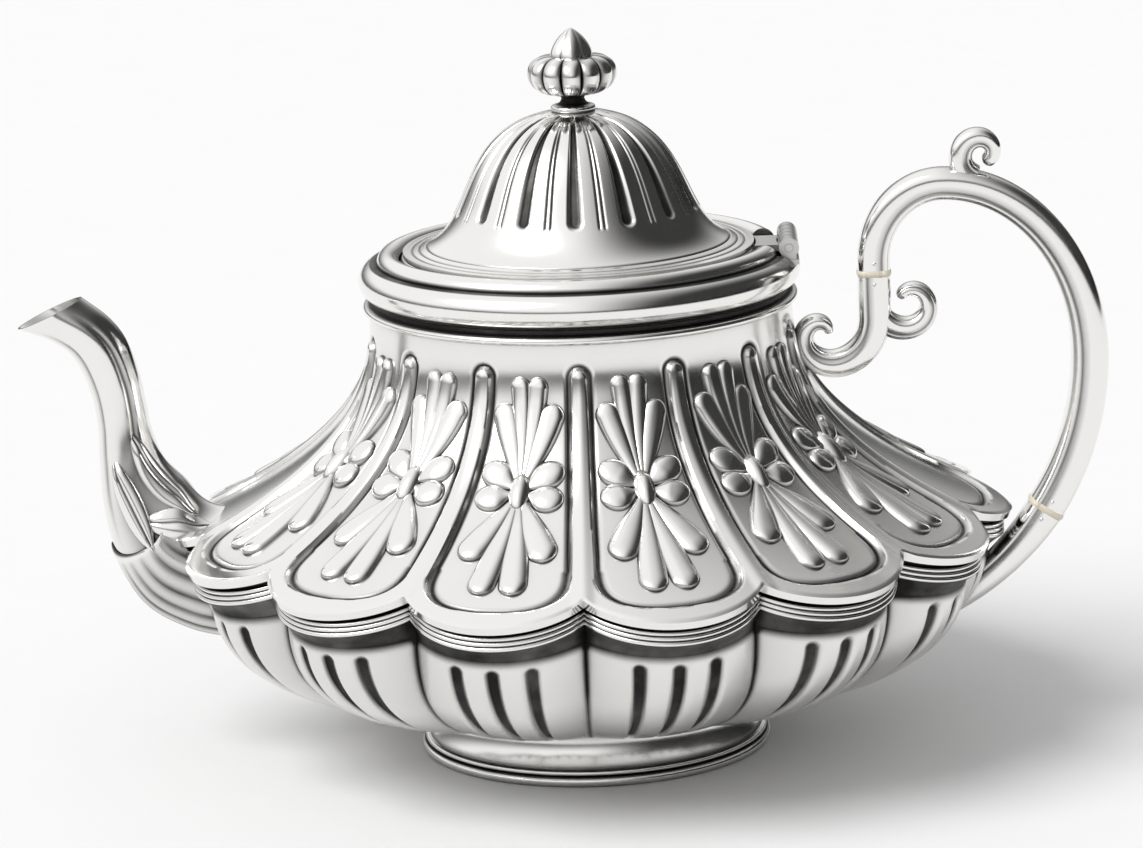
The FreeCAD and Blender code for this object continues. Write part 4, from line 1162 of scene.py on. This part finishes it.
def pin_piece():
    upper = (STEM_X, STEM_JOINT_Z, 0.0, 1.0, *STEM_SIZE)
    lower = tail_stations(TAIL_JOINT, TAIL_JOINT, 1)[0]
    pins = []
    for x, z, along_x, along_z, _, width in (upper, lower):
        for side in (-PIN_REACH, PIN_REACH):
            pins.append(pin_part(x + along_x * side, z + along_z * side, width + PIN_PROUD))
    piece("insulator_pin_heads", merged(pins), ["insulator_pins"])


# Lid

LID_EDGE_R = 38.6
LID_EDGE_Z = LID_WIRE_TOP + WALL
LID_INSET = 1.25
LID_COLUMNS = 60
DOME_CROWN = 30.0
DOME_FLARE = 18.6
DOME_POLES = np.array((
    (0, LID_TOP_Z),
    (DOME_CROWN, LID_TOP_Z),
    (LID_EDGE_R - DOME_FLARE, LID_EDGE_Z),
    (LID_EDGE_R, LID_EDGE_Z),
))
LID_FLUTE_LOW = 0.665
LID_FLUTE_DEPTH = 0.75
LID_FLUTE_HALF = 2.15
LID_LINE_DEPTH = 0.28
LID_RING_DEPTH = 0.22
# Rings near the edge: radius and half width
LID_RINGS = ((33.4, 0.14), (35.0, 0.16), (36.6, 0.16))
LID_WIRE_R = 0.85
LID_WIRE_IN_R = LID_R - 4.4


def dome_section(share):
    """Ogee section of the lid from crown to edge, and its unit normal."""
    a, b, c, d = DOME_POLES
    t = np.asarray(share)[..., None]
    rest = 1 - t
    point = rest ** 3 * a + 3 * t * rest ** 2 * b + 3 * t ** 2 * rest * c + t ** 3 * d
    way = rest ** 2 * (b - a) + 2 * t * rest * (c - b) + t ** 2 * (d - c)
    way = way / np.linalg.norm(way, axis=-1, keepdims=True)
    return point, np.stack([-way[..., 1], way[..., 0]], -1)


def dome_rings(share, depth, theta):
    """Rings of the lid, set in from its section by a depth."""
    point, normal = dome_section(share)
    inset = depth + 0 * theta
    return spun(point[..., 0] - inset * normal[..., 0], point[..., 1] - inset * normal[..., 1], theta)


def dome_relief(share, theta):
    """Sunk flutes on the crease lines, a reed between two fine lines on the crests, rings near the edge."""
    point = dome_section(share)[0]
    radius = point[..., 0]
    run = np.concatenate([[0], np.cumsum(np.linalg.norm(np.diff(point[:, 0], axis=0), axis=1))])[:, None]
    low_run = np.interp(LID_FLUTE_LOW, share[:, 0], run[:, 0])
    half = radius * LOBE / 2
    place = np.abs(lobe_place(theta))
    flute_half = np.minimum(0.32 * half, LID_FLUTE_HALF) * mix(0.75, 1.0, smooth(0.2, 0.6, share))
    over = np.maximum(run - (low_run - flute_half), 0)
    away = np.hypot((1 - place) * half, over) / np.maximum(flute_half, 0.05)
    flute = smooth(1.1, 0.3, away) * smooth(0.06, 0.16, share)
    fade = smooth(0.10, 0.25, share) * smooth(LID_FLUTE_LOW + 0.005, LID_FLUTE_LOW - 0.015, share)
    line = hump(place * half - 0.105 * half, 0.17 + 0.01 * half) * fade
    rings = sum(hump(radius - middle, width) for middle, width in LID_RINGS)
    depth = LID_FLUTE_DEPTH * flute + LID_LINE_DEPTH * line + LID_RING_DEPTH * rings
    # Oxide and painted shade: dark in the flutes, the fine lines and the rings
    oxide_and_shade = np.clip(0.95 * smooth(0.2, 0.85, flute) + 0.9 * line + 0.8 * rings, 0, 1)
    return depth, oxide_and_shade


def dome_piece():
    theta = lobe_angles(LID_COLUMNS)[None, :]
    share = spread(0.035, 1, 150)
    depth, oxide_and_shade = dome_relief(share, theta)
    outer = dome_rings(share, depth, theta)
    inner = dome_rings(spread(1, 0.06, 40), LID_INSET, theta)
    inner[0, :, 2] = LID_WIRE_TOP
    piece("lid_dome_fluted", shell(outer, inner, oxide_and_shade), ["lid_dome"], "lid")


def lid_wire_piece():
    wire = [(LID_WIRE_IN_R, SEAT_Z), (LID_R - 0.5, SEAT_Z)]
    wire += arc((LID_R - LID_WIRE_R, SEAT_Z + LID_WIRE_R), LID_WIRE_R, -70, 80, 12)
    wire += [(LID_R - 1.2, LID_WIRE_TOP), (LID_WIRE_IN_R, LID_WIRE_TOP)]
    # Painted shade on the wire's top and underside, where the dome and the seat meet it
    shade = [0.85 if z > LID_WIRE_TOP - 0.1 or z < SEAT_Z + 0.1 else 0.0 for r, z in wire]
    piece("lid_edge_wire", lathe(wire, shade), ["lid_rim_wire"], "lid")


# Finial

FINIAL_CORE_R = 0.3
FINIAL_PETALS = 12
FINIAL_PETAL_COLUMNS = 20
PETALS_LOW_Z = LID_TOP_Z + 3.5
PETALS_HEIGHT = 8.4
PETALS_ENDS = (3.4, 4.6)
PETALS_SWELL = 5.8
PETALS_CREASE = 1.5
BUD_LOW_Z = LID_TOP_Z + 11.2
BUD_TOP_Z = FINIAL_Z - 0.05
BUD_R = 5.1
BUD_FACETS = 6
BUD_FACET_DEPTH = 0.09
BUD_COLUMNS = 96


def finial_foot_piece():
    rise = LID_TOP_Z
    foot = [(FINIAL_CORE_R, rise - 1.2), (4.9, rise - 1.2)]
    foot += arc((4.2, rise + 0.35), 0.75, -70, 100, 10)
    foot += [(3.3, rise + 1.3), (2.75, rise + 1.9), (2.5, rise + 2.5), (2.7, rise + 3.0)]
    foot += [(3.3, rise + 3.5), (FINIAL_CORE_R, rise + 3.6)]
    # Painted shade on the narrow neck under the petals
    shade = [0.0 if r > 3.4 else 0.8 for r, z in foot]
    piece("finial_turned_foot", lathe(foot, shade, 96, False), ["finial_collar"], "lid")


def finial_petal_piece():
    theta = ring_angles(FINIAL_PETALS * FINIAL_PETAL_COLUMNS)
    pitch = TAU / FINIAL_PETALS
    turn = ((theta + pitch / 2) % pitch) / pitch
    dip = 1 - np.sqrt(np.maximum(1 - (2 * turn - 1) ** 2, 0))
    share = spread(0.02, 0.98, 26)
    swell = np.sin(pi * share)
    radius = mix(*PETALS_ENDS, share) + PETALS_SWELL * swell ** 0.75
    z = PETALS_LOW_Z + PETALS_HEIGHT * (1 - np.cos(pi * share)) / 2
    rings = spun(radius - PETALS_CREASE * dip * swell ** 0.5, z, theta)
    # Painted shade in the creases between the petals
    shade = np.clip(1.1 * dip ** 0.8, 0, 1)
    piece("finial_melon_petals", skin(rings, shade), ["finial_petals"], "lid")


def finial_bud_piece():
    theta = ring_angles(BUD_COLUMNS)
    facet = np.abs(((theta + TAU / 4) * BUD_FACETS / TAU + 0.5) % 1 - 0.5) * 2
    share = spread(0, 0.985, 24)
    radius = BUD_R * (1 - share ** 1.9) ** 0.85
    rings = spun(radius * (1 - BUD_FACET_DEPTH * facet), mix(BUD_LOW_Z, BUD_TOP_Z, share), theta)
    # Painted shade along the facet edges and at the bud's base
    shade = 0.75 * smooth(0.7, 1.0, facet) + 0.8 * smooth(0.12, 0.0, share)
    piece("finial_pointed_bud", skin(rings, shade), ["finial_bud"], "lid")


# Frame nodes that stay as they are get the same silver; the hinge gets a copy darkened all over with
# painted shade

def finish_frame_nodes():
    for name, node in frame["nodes"].items():
        if not node.hide_render:
            node.data.materials.clear()
            node.data.materials.append(SHADED_HINGE_SILVER if name.startswith("hinge") else SILVER)


# Stage

FLOOR_HALF_M = 6.0
FLOOR_PALE = (0.93, 0.93, 0.93, 1)
FLOOR_SPECK = (0.91, 0.91, 0.91, 1)
KEY_STRENGTH = 2.2
KEY_ANGLE = radians(38)
KEY_WAY = (0.62, 0.42, -0.80)
ROOM_LEVEL = 0.55


def floor_material():
    material, tree, shader = blank_material("floor_pale", {"Roughness": 0.9, "Specular IOR Level": 0.05})
    speck = noise_of(tree, object_place(tree), scale=40.0, detail=4.0)
    link_colour(tree, shader, speck, FLOOR_PALE, FLOOR_SPECK)
    return material


def stage():
    half = FLOOR_HALF_M
    corners = [(-half, -half, 0), (half, -half, 0), (half, half, 0), (-half, half, 0)]
    mesh = bpy.data.meshes.new("floor")
    mesh.from_pydata(corners, [], [(0, 1, 2, 3)])
    mesh.materials.append(floor_material())
    floor = link_object("floor", mesh)
    key = bpy.data.lights.new("key", "SUN")
    key.energy = KEY_STRENGTH
    key.angle = KEY_ANGLE
    lamp = link_object("key", key)
    lamp.rotation_mode = "QUATERNION"
    lamp.rotation_quaternion = Vector(KEY_WAY).to_track_quat("-Z", "Y")


def range_node(tree, value, start, end, low, high):
    """Smooth step of a value, from low at start to high at end."""
    node = add(tree, "MapRange")
    node.interpolation_type = "SMOOTHSTEP"
    fill(tree, node, {"Value": value, "From Min": start, "From Max": end, "To Min": low, "To Max": high})
    return node.outputs["Result"]


def world():
    """White ground for the camera; reflections see a white room, darker on the right and low down."""
    made = bpy.data.worlds.new("studio")
    bpy.context.scene.world = made
    made.use_nodes = True
    tree = made.node_tree
    back = tree.nodes["Background"]
    back.inputs["Color"].default_value = (1, 1, 1, 1)
    path = add(tree, "LightPath")
    way = add(tree, "TexCoord").outputs["Generated"]
    split = add(tree, "SeparateXYZ", Vector=way)
    side = range_node(tree, split.outputs["X"], -0.15, 0.70, 1.0, 0.04)
    band = range_node(tree, split.outputs["Z"], 0.02, 0.30, 0.12, 1.0)
    seen = math_node(tree, "MULTIPLY", side, band)
    glossy = math_node(tree, "MULTIPLY", seen, path.outputs["Is Glossy Ray"])
    plain = math_node(tree, "SUBTRACT", 1.0, path.outputs["Is Glossy Ray"])
    plain = math_node(tree, "MULTIPLY", plain, ROOM_LEVEL)
    level = math_node(tree, "ADD", glossy, plain)
    level = math_node(tree, "MAXIMUM", level, path.outputs["Is Camera Ray"])
    level = math_node(tree, "MAXIMUM", level, path.outputs["Is Transmission Ray"])
    tree.links.new(level, back.inputs["Strength"])


# Camera of the picture: place in millimetres; turn, tilt and roll in radians

CAMERA_AT = (22.2, -1100.0, 320.3)
CAMERA_TURN = -0.0229
CAMERA_TILT = 0.2216
CAMERA_ROLL = -0.0380
FOCAL_PIXELS = 5091.7
PICTURE_PIXELS = 1143
SENSOR_WIDTH = 36.0
CLIP_M = (0.01, 50.0)


def camera():
    data = bpy.data.cameras.new("camera")
    data.sensor_width = SENSOR_WIDTH
    data.lens = FOCAL_PIXELS / PICTURE_PIXELS * SENSOR_WIDTH
    data.clip_start, data.clip_end = CLIP_M
    made = link_object("camera", data)
    level = cos(CAMERA_TILT)
    ahead = Vector((sin(CAMERA_TURN) * level, cos(CAMERA_TURN) * level, -sin(CAMERA_TILT)))
    right = Vector((cos(CAMERA_TURN), -sin(CAMERA_TURN), 0))
    up = right.cross(ahead)
    rolled = right * cos(CAMERA_ROLL) + up * sin(CAMERA_ROLL)
    rolled_up = up * cos(CAMERA_ROLL) - right * sin(CAMERA_ROLL)
    place = Matrix((rolled, rolled_up, -ahead)).transposed().to_4x4()
    place.translation = Vector(CAMERA_AT) * MM
    made.matrix_world = place
    bpy.context.scene.camera = made


bpy.context.scene.view_settings.view_transform = "Standard"
base_moulding_piece()
foot_ring_piece()
bowl_piece()
band_piece()
upper_piece()
rosette_piece()
collar_piece()
rim_piece()
spout_piece()
spout_leaf_piece()
grip_piece()
tail_piece()
scroll_pieces()
disc_pieces()
pin_piece()
dome_piece()
lid_wire_piece()
finial_foot_piece()
finial_petal_piece()
finial_bud_piece()
finish_frame_nodes()
stage()
world()
camera()
